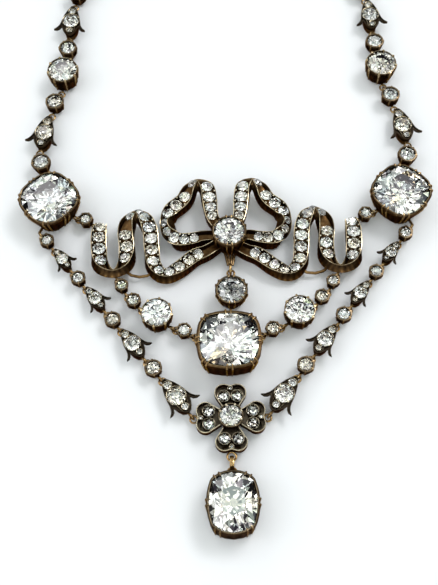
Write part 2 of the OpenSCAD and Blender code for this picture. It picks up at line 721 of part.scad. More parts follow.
// A heart shaped petal that points away from the cluster's middle along Y
module petal() {
    difference() {
        union() {
            translate([0, 0, petal_z]) linear_extrude(petal_top - petal_z) polygon(petal_waist);
            for (m = [-1, 1]) translate([m * petal_lobe_at[X], petal_lobe_at[Y], 0]) {
                translate([0, 0, petal_z]) cylinder(r = petal_lobe_r, h = petal_top - petal_z);
                cylinder(
                    r1 = petal_lobe_r * lobe_foot, r2 = petal_lobe_r * lobe_top,
                    h = petal_z + anchor_sink);
            }
            translate([0, petal_notch_at, petal_z]) cylinder(r = petal_notch_r, h = petal_top - petal_z);
        }
        petal_stones() seat(round_shape($stone_r), petal_top, flat_girdle_drop);
    }
}
module petal_stones() {
    for (m = [-1, 1]) {
        $stone_r = petal_stone_r;
        translate([m * petal_stone_at[X], petal_stone_at[Y], 0]) children();
    }
    $stone_r = notch_stone_r;
    translate([0, petal_notch_at, 0]) children();
}
module cluster_setting() color(silver) framed() {
    difference() {
        union() {
            for (n = [0 : 3]) at(cluster_at, 0, n * 90) petal();
            at(cluster_at) taper(round_shape(cluster_stone_r), -cluster_tuck, cluster_rim, cluster_h);
            at(bail_at + [0, bail_r], 0, 90) flat_eye(0, bail_eye_r, wire_r, bail_z);
        }
        at(cluster_at) seat(round_shape(cluster_stone_r), cluster_h);
    }
    for (m = [0, 1]) mirror([m, 0, 0])
        anchor(cluster_at, swag_end, swag_headings[7], true);
}
module cluster_stones() color(stone_white) framed()
    for (n = [0 : 3])
        at(cluster_at, petal_top - flat_girdle_drop, n * 90) petal_stones() plain_stone($stone_r);
module cluster_centre_stone() color(stone_white) framed()
    at(cluster_at, cluster_h - girdle_drop) brilliant(round_shape(cluster_stone_r));

module pendant_setting() color(silver) framed() at(pendant_at) {
    eye_y = bail_at[Y] - bail_r - pendant_at[Y];
    large_setting(pendant_shape, pendant_h, pendant_tuck, pendant_claws);
    rotate([0, 0, 90]) {
        post(pendant_post_from, eye_y - bail_eye_r + anchor_sink, bail_z, pendant_post_r);
        flat_eye(eye_y, bail_eye_r, wire_r, bail_z);
    }
}
module pendant_stone() color(stone_white) framed()
    at(pendant_at, pendant_h - girdle_drop) brilliant(pendant_shape);
module pendant_bail() color(gold) framed()
    at(bail_at, bail_z) rotate([90, 0, 90]) rotate_extrude()
    translate([bail_r - bail_band / 2, -bail_w / 2]) square([bail_band, bail_w]);

module neck_chain() {
    for (n = [0 : len(neck_links) - 1]) lay(neck_links, neck_joints, neck_headings, n) link(neck_links[n]);
}
module neck_gems() chain_gems(neck_links, neck_joints, neck_headings, neck_seen_links);
module neck_chain_right() color(silver) right() neck_chain();
module neck_chain_left() color(silver) left() neck_chain();
module neck_stones_right() color(stone_white) right() neck_gems();
module neck_stones_left() color(stone_white) left() neck_gems();

// A plain box clasp with rounded ends and an eye at each end
module clasp() color(gold) framed() at([0, neck_end[Y]]) {
    body = clasp_half - eye_r - clasp_neck;
    for (m = [0, 1]) mirror([m, 0, 0]) {
        translate([body - clasp_w / 2, 0, 0]) cylinder(r = clasp_w / 2, h = clasp_h);
        post(body - clasp_neck, clasp_half - eye_r + anchor_sink);
        flat_eye(clasp_half);
    }
    translate([clasp_w / 2 - body, -clasp_w / 2, 0]) cube([2 * body - clasp_w, clasp_w, clasp_h]);
}

centre_setting();
centre_stone();
side_setting_right();
side_setting_left();
side_stone_right();
side_stone_left();
bow_ribbon();
bow_stones();
knot_stone();
bow_drop_setting();
bow_drop_stone();
bow_link_right();
bow_link_left();
bow_link_stone_right();
bow_link_stone_left();
swag_link_1_right();
swag_link_2_right();
swag_link_3_right();
swag_link_4_right();
swag_link_5_right();
swag_link_6_right();
swag_link_7_right();
swag_link_8_right();
swag_link_1_left();
swag_link_2_left();
swag_link_3_left();
swag_link_4_left();
swag_link_5_left();
swag_link_6_left();
swag_link_7_left();
swag_link_8_left();
swag_stones_right();
swag_stones_left();
festoon_link_1_right();
festoon_link_2_right();
festoon_link_3_right();
festoon_link_4_right();
festoon_link_1_left();
festoon_link_2_left();
festoon_link_3_left();
festoon_link_4_left();
festoon_stones_right();
festoon_stones_left();
cluster_setting();
cluster_stones();
cluster_centre_stone();
pendant_setting();
pendant_stone();
pendant_bail();
neck_chain_right();
neck_chain_left();
neck_stones_right();
neck_stones_left();
clasp();
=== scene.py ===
# %% [markdown]
# # A diamond necklace laid on a pale table
# The real necklace is old work: diamonds held in silver, backed with gold, and joined by small eyes.
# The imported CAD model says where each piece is. This lesson makes each piece again with the fine
# parts that the eye looks for: claws, grains, thin bright rims, darkened hollows and cut facets.

# %% Load the frame
import math
import random

import bmesh
import bpy
from mathutils import Matrix, Vector


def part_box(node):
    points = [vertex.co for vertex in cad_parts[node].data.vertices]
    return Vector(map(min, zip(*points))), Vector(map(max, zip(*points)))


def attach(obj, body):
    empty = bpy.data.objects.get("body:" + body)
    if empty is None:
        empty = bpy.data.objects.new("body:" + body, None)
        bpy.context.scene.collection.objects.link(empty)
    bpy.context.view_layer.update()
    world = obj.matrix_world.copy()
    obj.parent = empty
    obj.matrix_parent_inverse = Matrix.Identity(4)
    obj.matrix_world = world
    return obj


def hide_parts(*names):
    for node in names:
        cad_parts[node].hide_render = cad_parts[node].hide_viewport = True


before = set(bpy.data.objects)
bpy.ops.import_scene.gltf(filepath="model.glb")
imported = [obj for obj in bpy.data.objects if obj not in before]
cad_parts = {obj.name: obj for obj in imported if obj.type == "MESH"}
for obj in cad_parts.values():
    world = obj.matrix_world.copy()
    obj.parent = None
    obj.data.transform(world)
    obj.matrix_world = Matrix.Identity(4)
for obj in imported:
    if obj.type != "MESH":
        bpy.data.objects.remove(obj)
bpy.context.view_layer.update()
print("CAD nodes:", len(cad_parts))

# %% [markdown]
# A jeweller works in millimetres from the middle of the front, and Blender in metres from the middle
# of the whole necklace. The centre stone is in both, so it tells how far apart the two are.

# %% From the bench to the frame
MM = 0.001
centre_at = Vector((0, -12.5))
stone_low, stone_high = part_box("centre_stone")
bench_shift = (stone_low.y + stone_high.y) / 2 / MM - centre_at.y
print("bench lies", round(bench_shift, 3), "mm along Y in the frame")

# %% [markdown]
# The camera comes first, because it shows at once whether the pieces fall where the photograph has
# them. It looks down steeply from in front of the pendant, with a slight tilt.

# %% Camera
scene = bpy.context.scene
PHOTO_WIDTH = 438
FOCAL_PIXELS = 960
SENSOR = 36
camera_down = math.radians(65.5)
camera_tilt = math.radians(-1.25)
camera_far = 192
camera_aim = Vector((-1.7, 0, 0))

camera_data = bpy.data.cameras.new("table_camera")
camera_data.sensor_fit = "HORIZONTAL"
camera_data.sensor_width = SENSOR
camera_data.lens = FOCAL_PIXELS / PHOTO_WIDTH * SENSOR
camera = bpy.data.objects.new("table_camera", camera_data)
scene.collection.objects.link(camera)
look = Vector((0, math.cos(camera_down), -math.sin(camera_down)))
level = Vector((1, 0, 0))
raised = level.cross(look)
side = math.cos(camera_tilt) * level + math.sin(camera_tilt) * raised
top = -math.sin(camera_tilt) * level + math.cos(camera_tilt) * raised
seat = camera_aim - look * camera_far + Vector((0, bench_shift, 0))
camera.matrix_world = Matrix.Translation(seat * MM) @ Matrix((side, top, -look)).transposed().to_4x4()
camera_data.clip_start = 0.01
camera_data.clip_end = 10
scene.camera = camera
print("lens", round(camera_data.lens, 2), "mm")

# %% [markdown]
# Old silver is dark in its hollows and bright where cloth and skin rub it. Each metal mesh carries
# two values on its corners: **polish**, from a blackened hollow at 0 to a rubbed edge at 1, and
# **gilt**, from silver at 0 to the gold of the backs and rings at 1. The maker sets both while
# shaping, and the finish reads them, so the wear follows the form. In the flutes of the walls and the
# rippled walls of the ribbon, polish is also lowered as painted shade.

# %% Node tools
# Settings are a node's own, and values are those of its input sockets, named or counted
def add_node(tree, kind, values=None, **settings):
    node = tree.nodes.new("ShaderNode" + kind)
    for name, choice in settings.items():
        setattr(node, name, choice)
    for socket, value in (values or {}).items():
        node.inputs[socket].default_value = value
    return node


def add_ramp(tree, stops):
    node = add_node(tree, "ValToRGB")
    elements = node.color_ramp.elements
    while len(elements) < len(stops):
        elements.new(0.5)
    for element, (where, colour) in zip(elements, stops):
        element.position = where
        element.color = (*colour, 1)
    return node


def join(tree, wires):
    for source, output, target, socket in wires:
        tree.links.new(source.outputs[output], target.inputs[socket])


def new_finish(name, values):
    finish = bpy.data.materials.new(name)
    finish.use_nodes = True
    shader = finish.node_tree.nodes["Principled BSDF"]
    for socket, value in values.items():
        shader.inputs[socket].default_value = value
    return finish, shader


# %% Worn metal group
def wear_group():
    group = bpy.data.node_groups.new("hand_worn_surface", "ShaderNodeTree")
    sockets = {"Grain Scale": "INPUT", "Wear Amount": "INPUT", "Wear": "OUTPUT", "Height": "OUTPUT"}
    for name, way in sockets.items():
        group.interface.new_socket(name=name, in_out=way, socket_type="NodeSocketFloat")
    inputs = group.nodes.new("NodeGroupInput")
    outputs = group.nodes.new("NodeGroupOutput")
    place = add_node(group, "TexCoord")
    grain = add_node(group, "TexNoise", {"Detail": 6, "Roughness": 0.6})
    polish = add_node(group, "Attribute", attribute_name="polish")
    centred = add_node(group, "Math", {1: 0.5}, operation="SUBTRACT")
    mottled = add_node(group, "Math", operation="MULTIPLY_ADD", use_clamp=True)
    join(group, [
        (place, "Object", grain, "Vector"), (inputs, "Grain Scale", grain, "Scale"),
        (grain, "Fac", centred, 0), (centred, 0, mottled, 0), (inputs, "Wear Amount", mottled, 1),
        (polish, "Fac", mottled, 2), (mottled, 0, outputs, "Wear"), (grain, "Fac", outputs, "Height")])
    return group


worn_surface = wear_group()
print("group", worn_surface.name, "sockets", len(worn_surface.interface.items_tree))

# %% Metal finish
SILVER_STOPS = [
    (0.0, (0.006, 0.004, 0.003)), (0.45, (0.042, 0.033, 0.023)),
    (0.8, (0.18, 0.148, 0.105)), (1.0, (0.66, 0.58, 0.44))]
GOLD_STOPS = [
    (0.0, (0.014, 0.007, 0.003)), (0.45, (0.105, 0.056, 0.022)),
    (0.8, (0.36, 0.22, 0.09)), (1.0, (0.82, 0.6, 0.28))]
WEAR = {"Grain Scale": 1100, "Wear Amount": 0.7}
ROUGH_RANGE = {"To Min": 0.5, "To Max": 0.2}
# Past the brightest wear, polish turns into the foil that lies behind the larger stones
FOIL_RANGE = {"From Min": 1.1, "From Max": 1.5}
FOIL_COLOUR = (0.7, 0.71, 0.72, 1)


def metal_finish():
    finish, shader = new_finish(
        "blackened_silver", {"Metallic": 1.0, "Specular Tint": (0.3, 0.2, 0.12, 1)})
    tree = finish.node_tree
    worn = add_node(tree, "Group", WEAR, node_tree=worn_surface)
    silver = add_ramp(tree, SILVER_STOPS)
    gold = add_ramp(tree, GOLD_STOPS)
    gilt = add_node(tree, "Attribute", attribute_name="gilt")
    blend = add_node(tree, "Mix", data_type="RGBA")
    rough = add_node(tree, "MapRange", ROUGH_RANGE)
    bump = add_node(tree, "Bump", {"Strength": 0.25, "Distance": 0.05 * MM})
    polish = add_node(tree, "Attribute", attribute_name="polish")
    foiled = add_node(tree, "MapRange", FOIL_RANGE)
    backed = add_node(tree, "Mix", {"B": FOIL_COLOUR}, data_type="RGBA")
    join(tree, [
        (worn, "Wear", silver, "Fac"), (worn, "Wear", gold, "Fac"), (gilt, "Fac", blend, "Factor"),
        (silver, "Color", blend, "A"), (gold, "Color", blend, "B"), (polish, "Fac", foiled, "Value"),
        (foiled, "Result", backed, "Factor"), (blend, "Result", backed, "A"),
        (backed, "Result", shader, "Base Color"), (worn, "Wear", rough, "Value"),
        (rough, "Result", shader, "Roughness"), (worn, "Height", bump, "Height"),
        (bump, "Normal", shader, "Normal")])
    return finish


old_silver = metal_finish()
print("finish", old_silver.name)

# %% [markdown]
# A diamond is clear, bends light more than any glass, and throws most of it back out of its crown.
# Roughness is zero and the facets do the rest. Each facet also carries a small painted tint of its
# own, a painted flash of colour, because a diamond splits white light and single facets flash green,
# yellow or orange. Some stones take the creamy tint as their own body colour.

# %% Diamond
# Tints of the facets: painted flashes of split light, and the cream of some stones' own colour
CREAM_AND_PAINTED_FIRE_STOPS = [
    (0.0, (1.0, 0.985, 0.93)), (0.66, (0.93, 0.97, 1.0)), (0.76, (0.95, 1.0, 0.89)),
    (0.84, (1.0, 0.92, 0.76)), (0.9, (0.78, 0.86, 0.95)), (0.95, (0.8, 0.95, 0.5)),
    (0.98, (1.0, 0.68, 0.34))]


def diamond_finish():
    finish, shader = new_finish(
        "diamond_white", {"Transmission Weight": 1.0, "Roughness": 0.0, "IOR": 2.417})
    tree = finish.node_tree
    tint = add_node(tree, "Attribute", attribute_name="facet")
    # A stone's colour is multiplied by this value: partly its own clarity, partly painted shade for stones
    # that lie in shade or mirror something dark
    clear_and_shade = add_node(tree, "Attribute", attribute_name="clear_and_shade")
    cream_and_painted_fire = add_ramp(tree, CREAM_AND_PAINTED_FIRE_STOPS)
    cream_and_painted_fire.color_ramp.interpolation = "CONSTANT"
    smoke_and_shade = add_node(tree, "Mix", {"Factor": 1.0}, data_type="RGBA", blend_type="MULTIPLY")
    join(tree, [
        (tint, "Fac", cream_and_painted_fire, "Fac"), (cream_and_painted_fire, "Color", smoke_and_shade, "A"), (clear_and_shade, "Fac", smoke_and_shade, "B"),
        (smoke_and_shade, "Result", shader, "Base Color")])
    return finish


diamond = diamond_finish()
print("finish", diamond.name)

# %% [markdown]
# Two small habits keep the meshes sound. A part is shaped once at the origin and kept as a mesh, then
# added to a piece wherever it is needed. A piece is finished by one function, which brings it from
# the bench to the frame, names the CAD node that it stands for, and prints how well the two agree.

# %% Bench tools
FINISHES = {"silver": old_silver, "gold": old_silver, "diamond": diamond}
# Two faces that meet at a sharper angle than this keep a hard edge between them
HARD_EDGE = math.radians(42)


def new_work():
    work = bmesh.new()
    work.verts.layers.float.new("polish")
    work.verts.layers.float.new("gilt")
    return work


def set_finish(work, verts, polish, gilt):
    polish_layer = work.verts.layers.float["polish"]
    gilt_layer = work.verts.layers.float["gilt"]
    for vert in verts:
        vert[polish_layer] = polish
        vert[gilt_layer] = gilt


def keep(work, name="part"):
    bmesh.ops.recalc_face_normals(work, faces=work.faces)
    mesh = bpy.data.meshes.new(name)
    work.to_mesh(mesh)
    work.free()
    return mesh


def add_part(work, part, matrix):
    before = len(work.verts)
    faces_before = len(work.faces)
    work.from_mesh(part)
    work.verts.ensure_lookup_table()
    work.faces.ensure_lookup_table()
    bmesh.ops.transform(work, matrix=matrix, verts=work.verts[before:])
    if matrix.determinant() < 0:
        bmesh.ops.reverse_faces(work, faces=work.faces[faces_before:])


def at(place, z=0.0, turn=0.0, size=(1, 1, 1)):
    spot = Matrix.Translation((place[0], place[1], z))
    return spot @ Matrix.Rotation(math.radians(turn), 4, "Z") @ Matrix.Diagonal((*size, 1))


HALVES = {"right": Matrix.Identity(4), "left": Matrix.Diagonal((-1, 1, 1, 1))}


def lay_down(work, node, slot):
    to_frame = Matrix.Scale(MM, 4) @ Matrix.Translation((0, bench_shift, 0))
    bmesh.ops.transform(work, matrix=to_frame, verts=work.verts)
    mesh = bpy.data.meshes.new("fine_" + node)
    work.to_mesh(mesh)
    work.free()
    mesh.materials.append(FINISHES[slot])
    smooth = slot != "diamond"
    mesh.polygons.foreach_set("use_smooth", [smooth] * len(mesh.polygons))
    piece = bpy.data.objects.new("fine_" + node, mesh)
    scene.collection.objects.link(piece)
    if smooth:
        mesh.set_sharp_from_angle(angle=HARD_EDGE)
    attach(piece, "root")
    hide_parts(node)
    low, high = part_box(node)
    corners = [Vector(c) for c in piece.bound_box]
    out = max(
        max(low[k] - min(c[k] for c in corners), max(c[k] for c in corners) - high[k]) for k in range(3))
    print(f"{node}: {len(mesh.polygons)} faces, {out / MM:+.2f} mm past its solid")


def lay_both(part, node, slot):
    for half, matrix in HALVES.items():
        work = new_work()
        add_part(work, part, matrix)
        lay_down(work, f"{node}_{half}", slot)


# %% Outlines of the stones
# A shape is a half width, the radius of the sides, a corner radius (0 is round), a half length, and the
# radius of the ends (0 where the corners' circle makes the ends too)
CUSHION_BULGE = 1.22
OVAL_BULGE = 1.3


def round_shape(radius):
    return (radius, radius, 0.0, radius, radius)


def cushion_shape(width, length, corner):
    bulge = width * CUSHION_BULGE
    return (width / 2, bulge, width * corner, length / 2, bulge)


def oval_shape(width, length):
    return (width / 2, width * OVAL_BULGE, length / 2, length / 2, 0.0)


def reach(shape, angle):
    half, bulge, corner, long_half, end_bulge = shape
    if corner == 0:
        return half
    found = [corner]
    for n in range(4) if end_bulge else (0, 2):
        across, curve = (long_half, end_bulge) if n % 2 else (half, bulge)
        turn = angle - n * math.pi / 2
        off = curve - across
        found.append(math.sqrt(curve ** 2 - (off * math.sin(turn)) ** 2) - off * math.cos(turn))
    return min(found)


def on_outline(shape, angle, grow, z):
    far = reach(shape, angle) + grow
    return Vector((far * math.cos(angle), far * math.sin(angle), z))


centre_shape = cushion_shape(11.1, 10.6, 0.55)
side_shape = cushion_shape(10.5, 10.5, 0.54)
pendant_shape = oval_shape(8.6, 10.6)
knot_shape = round_shape(3.0)
drop_shape = round_shape(2.7)
cluster_shape = round_shape(2.0)
print("centre stone corner to corner:", round(2 * reach(centre_shape, math.pi / 4), 2), "mm")

# %% [markdown]
# ## Cut stones
# The stones are old cuts: a small table, a high crown, a deep pavilion and a culet ground flat. Such a
# stone is convex, so the maker only places rings of corner points, and **convex_hull** stretches the
# facets between them, as grinding does on the real stone.

# %% Cutting a stone
# The girdle lies this far below the rim of a setting, and the flat stones' below a plate
GIRDLE_DROP = 0.3
FLAT_DROP = 0.2
# A small flat stone is this deep for a radius of 1
FLAT_DEEP = 0.7
HAND_CUT = 0.03
# Faces that lean less than this from each other are one facet
ONE_FACET = math.radians(0.6)
chance = random.Random(7)


def verts_in(geom):
    return [g for g in geom if isinstance(g, bmesh.types.BMVert)]


def uneven(amount):
    return 1 + amount * (chance.random() - 0.5)


def tilted(degrees):
    tip = Matrix.Rotation(math.radians(degrees * (2 * chance.random() - 1)), 4, "X")
    return tip @ Matrix.Rotation(math.radians(degrees * (2 * chance.random() - 1)), 4, "Y")


def cut_stone(shape, rings, name):
    work = bmesh.new()
    for count, part, z, turn in rings:
        made = bmesh.ops.create_circle(
            work, segments=count, radius=1.0, matrix=Matrix.Rotation(math.radians(turn), 4, "Z"))
        for vert in made["verts"]:
            angle = math.atan2(vert.co.y, vert.co.x)
            spread = 1 if part == 1.0 else uneven(HAND_CUT)
            deep = uneven(HAND_CUT) if z < 0 and part < 1.0 else 1
            vert.co = on_outline(shape, angle, 0, 0) * part * spread + Vector((0, 0, z * deep))
    hull = bmesh.ops.convex_hull(work, input=work.verts)
    bmesh.ops.delete(work, geom=verts_in(hull["geom_interior"]), context="VERTS")
    loose = [e for e in work.edges if not e.link_faces]
    bmesh.ops.delete(work, geom=loose, context="EDGES")
    bmesh.ops.dissolve_limit(work, angle_limit=ONE_FACET, verts=work.verts, edges=work.edges)
    return keep(work, name)


def brilliant(shape, name, deep=0.82):
    half = shape[0]
    crown, pavilion, girdle = 0.34 * half, deep * half, 0.02 * half
    lift = math.cos(math.pi / 8)
    star_z = crown * (1 - (0.78 * lift - 0.52) / 0.48)
    return cut_stone(shape, [
        (8, 0.5, crown, 0), (8, 0.78, star_z, 22.5), (16, 1.0, girdle, 0), (16, 1.0, -girdle, 0),
        (8, 0.62, -pavilion * 0.44, 0), (8, 0.32, -pavilion * 0.76, 22.5), (8, 0.1, -pavilion, 0)], name)


def small_cut(crown, pavilion, name):
    return cut_stone(round_shape(1.0), [
        (8, 0.54, crown, 0), (8, 1.0, 0.03, 22.5), (8, 1.0, -0.03, 22.5),
        (8, 0.45, -pavilion * 0.6, 0), (4, 0.1, -pavilion, 0)], name)


centre_cut = brilliant(centre_shape, "centre_cut")
side_cut = brilliant(side_shape, "side_cut")
pendant_cut = brilliant(pendant_shape, "pendant_cut", 0.88)
round_cut = brilliant(round_shape(1.0), "round_cut")
small_round_cut = small_cut(0.36, 0.8, "small_round_cut")
flat_round_cut = small_cut(0.46, FLAT_DEEP, "flat_round_cut")
rose_cut = cut_stone(round_shape(1.0), [
    (1, 0.0, 0.62, 0), (6, 0.5, 0.48, 0), (12, 1.0, 0.05, 15), (12, 1.0, -0.05, 15),
    (12, 0.9, -0.12, 15)], "rose_cut")
for cut in (centre_cut, side_cut, pendant_cut, round_cut, small_round_cut, flat_round_cut, rose_cut):
    print(cut.name, len(cut.polygons), "facets")


# %% Laying stones
# A spot is a place on a stone, its radius, the tint of the facets there and how far their colour is
# darkened: a painted orange flash on some stones, and a painted dark reflection on others
PAINTED_FLASH = 0.99
PAINTED_FLASH_R = 1.5
PLAIN = 0.0
# By chance a facet has any painted tint up to this one, which lies below the painted flash
TINT_TOP = 0.97
# In a row some stones are creamy, in most of their facets
CREAM = 0.85
CREAM_STONES = 0.3
CREAM_FACETS = 0.7
# No two stones are equally clear
CLEAR_SPREAD = 0.16


def lay_stones(node, placed, spots=()):
    work = bmesh.new()
    facets = []
    for part, matrix, clear_and_shade in placed:
        add_part(work, part, matrix)
        own_clear_and_shade = clear_and_shade * (1 - CLEAR_SPREAD * chance.random())
        cream = len(placed) > 2 and chance.random() < CREAM_STONES
        for _ in part.polygons:
            tint = CREAM if cream and chance.random() < CREAM_FACETS else TINT_TOP * chance.random()
            facets.append((tint, own_clear_and_shade))
    for name in ("facet", "clear_and_shade"):
        work.faces.layers.float.new(name)
    tint_layer = work.faces.layers.float["facet"]
    clear_and_shade_layer = work.faces.layers.float["clear_and_shade"]
    for face, (tint, clear_and_shade) in zip(work.faces, facets):
        # Inside a spot the facets take the painted tint and the painted darkening
        for place, radius, painted_tint, painted_darkening in spots:
            if (face.calc_center_median().xy - place).length < radius:
                tint, clear_and_shade = painted_tint, clear_and_shade * painted_darkening
        face[tint_layer] = tint
        face[clear_and_shade_layer] = clear_and_shade
    lay_down(work, node, "diamond")


# %% [markdown]
# ## Settings
# A large setting is a tapered wall in the outline of its stone, with an upright lip that holds the
# girdle. The wall is drawn up from a ring, one **extrude** after the other, each ring moved out or in
# along the outline. The same function makes the round cups of the chains from other profiles, and a
# wire is drawn the same way along a path.

# %% Drawing walls and wires
# A fluted wall has a hollow every fourth corner
FLUTE = (0.0, 0.6, 1.0, 0.6)
FLUTE_DEPTH = 0.09
# This share of a flute hollow's polish is taken away: painted shade, on top of the blackening a hollow
# keeps
FLUTE_PAINTED_SHADE = 0.8
EYE_R = 0.7
EYE_WIRE = 0.2


def edges_of(ring):
    return list({e for v in ring for e in v.link_edges})


def start_ring(work, sides):
    ring = bmesh.ops.create_circle(work, segments=sides, radius=1.0)["verts"]
    return ring, edges_of(ring)


def draw_on(work, ring, edges):
    made = bmesh.ops.extrude_edge_only(work, edges=edges)["geom"]
    fresh = set(verts_in(made))
    behind = set(ring)
    after = {}
    for vert in fresh:
        for edge in vert.link_edges:
            other = edge.other_vert(vert)
            if other in behind:
                after[other] = vert
    edges = [g for g in made if isinstance(g, bmesh.types.BMEdge) and all(v in fresh for v in g.verts)]
    return [after[v] for v in ring], edges


def close_ends(work, first, last):
    for loop in (first, last):
        bmesh.ops.contextual_create(work, geom=loop)


def drawn_wall(work, shape, profile, sides, fluted_rows=0):
    ring, edges = start_ring(work, sides)
    angles = [math.atan2(v.co.y, v.co.x) for v in ring]
    first = edges
    for n, (grow, z, polish, gilt) in enumerate(profile):
        if n:
            ring, edges = draw_on(work, ring, edges)
        for k, (vert, angle) in enumerate(zip(ring, angles)):
            # A flute's hollow is drawn in and painted darker, partly as painted shade
            hollow = 0 if n >= fluted_rows else FLUTE[k % len(FLUTE)]
            vert.co = on_outline(shape, angle, grow - hollow * FLUTE_DEPTH, z)
            set_finish(work, [vert], polish * (1 - FLUTE_PAINTED_SHADE * hollow), gilt)
    close_ends(work, first, edges)


def drawn_wire(work, path, radii, sides, polish, gilt, up=Vector((0, 0, 1)), tall=1.0):
    ring, edges = start_ring(work, sides)
    unit = [Vector((v.co.x, v.co.y * tall, 0)) for v in ring]
    first = edges
    for n, point in enumerate(path):
        if n:
            ring, edges = draw_on(work, ring, edges)
        ahead = (path[min(n + 1, len(path) - 1)] - path[max(n - 1, 0)]).normalized()
        across = up.cross(ahead).normalized()
        turned = Matrix((across, ahead.cross(across), ahead)).transposed()
        for vert, flat in zip(ring, unit):
            vert.co = point + turned @ (flat * radii[n])
        set_finish(work, ring, polish[n], gilt)
    close_ends(work, first, edges)


# A wire that climbs a wall, at one angle of its outline
def climbing_wire(work, shape, angle, spots, radii, sides, polish, gilt):
    path = [on_outline(shape, angle, grow, z) for grow, z in spots]
    beside = Vector((-math.sin(angle), math.cos(angle), 0))
    drawn_wire(work, path, radii, sides, polish, gilt, beside)


def straight_wire(work, start, end, radius, gilt, polish=0.7):
    drawn_wire(work, [Vector(start), Vector(end)], [radius, radius], 12, [polish, polish], gilt)


def bead(work, point, radius, tall=1.0):
    made = bmesh.ops.create_uvsphere(
        work, u_segments=8, v_segments=5, radius=radius,
        matrix=Matrix.Translation(point) @ Matrix.Diagonal((1, 1, tall, 1)))
    set_finish(work, made["verts"], 1.0, 0.0)


def eye(work, place, z, flat, radius=EYE_R, wire=EYE_WIRE, gilt=0.75, turn=0.0):
    spot = Matrix.Translation((radius, 0, 0)) @ Matrix.Rotation(math.pi / 2, 4, "X")
    others = set(work.verts)
    ring = bmesh.ops.create_circle(work, segments=8, radius=wire, matrix=spot)["verts"]
    edges = edges_of(ring)
    bmesh.ops.spin(
        work, geom=ring + edges, cent=(0, 0, 0), axis=(0, 0, 1), angle=math.tau, steps=24, use_merge=True)
    made = [v for v in work.verts if v not in others]
    stand = Matrix.Identity(4) if flat else Matrix.Rotation(math.pi / 2, 4, "X")
    bmesh.ops.transform(work, matrix=at(place, z, turn) @ stand, verts=made)
    set_finish(work, made, 0.8, gilt)


# %% [markdown]
# ### Large settings
# The walls are worn at the foot and rubbed bright on the lip. Their flutes above the foot are painted
# dark, partly the blackening of a hollow and partly painted shade. Pairs of thin claws climb the walls
# and bend over the edge of the stone. The claws are wires whose radius changes on the way up.

# %% Large settings
# The old setter lined the pits of the larger stones with bright foil, to throw light back through the
# stone, and left the small ones bare
FOIL = 1.6
BARE = 0.35
BIG_RIM = 0.5
BIG_LIP = 0.9
TWIN_HALF = 0.48
CLAW_THICKNESS = (0.7, 0.9, 1.0, 0.95, 0.8, 0.35)
CLAW_POLISH = (0.75, 0.85, 0.9, 0.7, 0.7, 0.9)


def claw(work, shape, angle, tuck, rim, lip, height, radius, gilt):
    spots = [
        (0.06 - tuck, 0.25), ((rim - tuck) / 2 + 0.06, lip * 0.5), (rim + 0.04, lip),
        (rim + 0.04, height - 0.3), (0.3, height + 0.06), (-0.14, height + 0.14)]
    climbing_wire(work, shape, angle, spots, [radius * k for k in CLAW_THICKNESS], 8, CLAW_POLISH, gilt)


def setting(work, spot, shape, height, tuck, claws, gilt, sides=96, claw_r=0.22, rim=BIG_RIM, pit=FOIL):
    wall = new_work()
    lip = height - BIG_LIP
    half = shape[0]
    rise = rim + tuck
    drawn_wall(wall, shape, [
        (-tuck, 0.0, 0.8, gilt), (-tuck + rise * 0.06, 0.3, 0.75, gilt),
        (-tuck + rise * 0.1, 0.5, 0.35, gilt), (-tuck + rise * 0.5, lip * 0.5, 0.4, gilt),
        (rim - 0.12, lip - 0.3, 0.3, gilt), (rim - 0.06, lip, 0.2, gilt),
        (rim, lip + 0.1, 0.6, gilt * 0.8), (rim, height - 0.45, 0.35, gilt * 0.7),
        (rim - 0.1, height - 0.16, 0.35, gilt * 0.7), (0.26, height - 0.06, 0.55, gilt * 0.6),
        (0.17, height, 0.85, gilt * 0.4), (0.08, height - 0.04, 0.5, 0.2), (0.05, height - 0.4, 0.1, 0.2),
        (0.04, height - 0.5, pit, 0.0), (-half * 0.4, height - 0.5 - half * 0.34, pit, 0.0),
        (-half * 0.82, height - 0.5 - half * 0.78, pit, 0.0)], sides, fluted_rows=5)
    for n in range(claws):
        middle = n * math.tau / claws
        for lean in (-1, 1):
            angle = middle + lean * math.atan(TWIN_HALF / reach(shape, middle))
            claw(wall, shape, angle, tuck, rim, lip, height, claw_r, gilt * 0.8)
    add_part(work, keep(wall), spot)


# %% Eyes that hold the chains
RING_PITCH = 0.78
EYE_Z = 0.95
POST_R = 0.28
POST_GILT = 0.6
# An anchor's post starts this far from the middle of its setting
POST_START = 3.2


def heading(turn):
    return Vector((math.cos(math.radians(turn)), math.sin(math.radians(turn))))


# The eye past a chain's joint is flat, and the one before it upright
def joint_eye(work, joint, turn, flat):
    way = 1 if flat else -1
    middle = joint + way * RING_PITCH / 2 * heading(turn)
    eye(work, middle, EYE_Z, flat, turn=turn)
    return middle + way * EYE_R * heading(turn)


def anchor(work, hub, joint, turn, flat):
    back = joint_eye(work, joint, turn, flat)
    out = (back - hub).normalized()
    start = hub + out * POST_START
    straight_wire(work, (*start, EYE_Z), (*(back + out * 0.1), EYE_Z), POST_R, POST_GILT)


def anchor_both(work, hub, joint, turn):
    hook = new_work()
    anchor(hook, hub, joint, turn, True)
    part = keep(hook)
    for mirror in HALVES.values():
        add_part(work, part, mirror)


# %% [markdown]
# ## The chains' layout
# A laid chain is a row of links, each turned along its own heading, that meet at joints. The two eyes
# at a joint lie a ring pitch apart. The neck chain, the swags and the festoons are all laid this way.

# %% Links and joints
# A collet of a greater radius than this is a medium one
MEDIUM_FROM = 2.5


# A collet link's last value darkens its stone's colour, partly as painted shade
def collet_link(radius, half, clear_and_shade=1.0):
    return {"kind": "collet", "size": radius, "first": half, "second": half, "clear_and_shade": clear_and_shade}


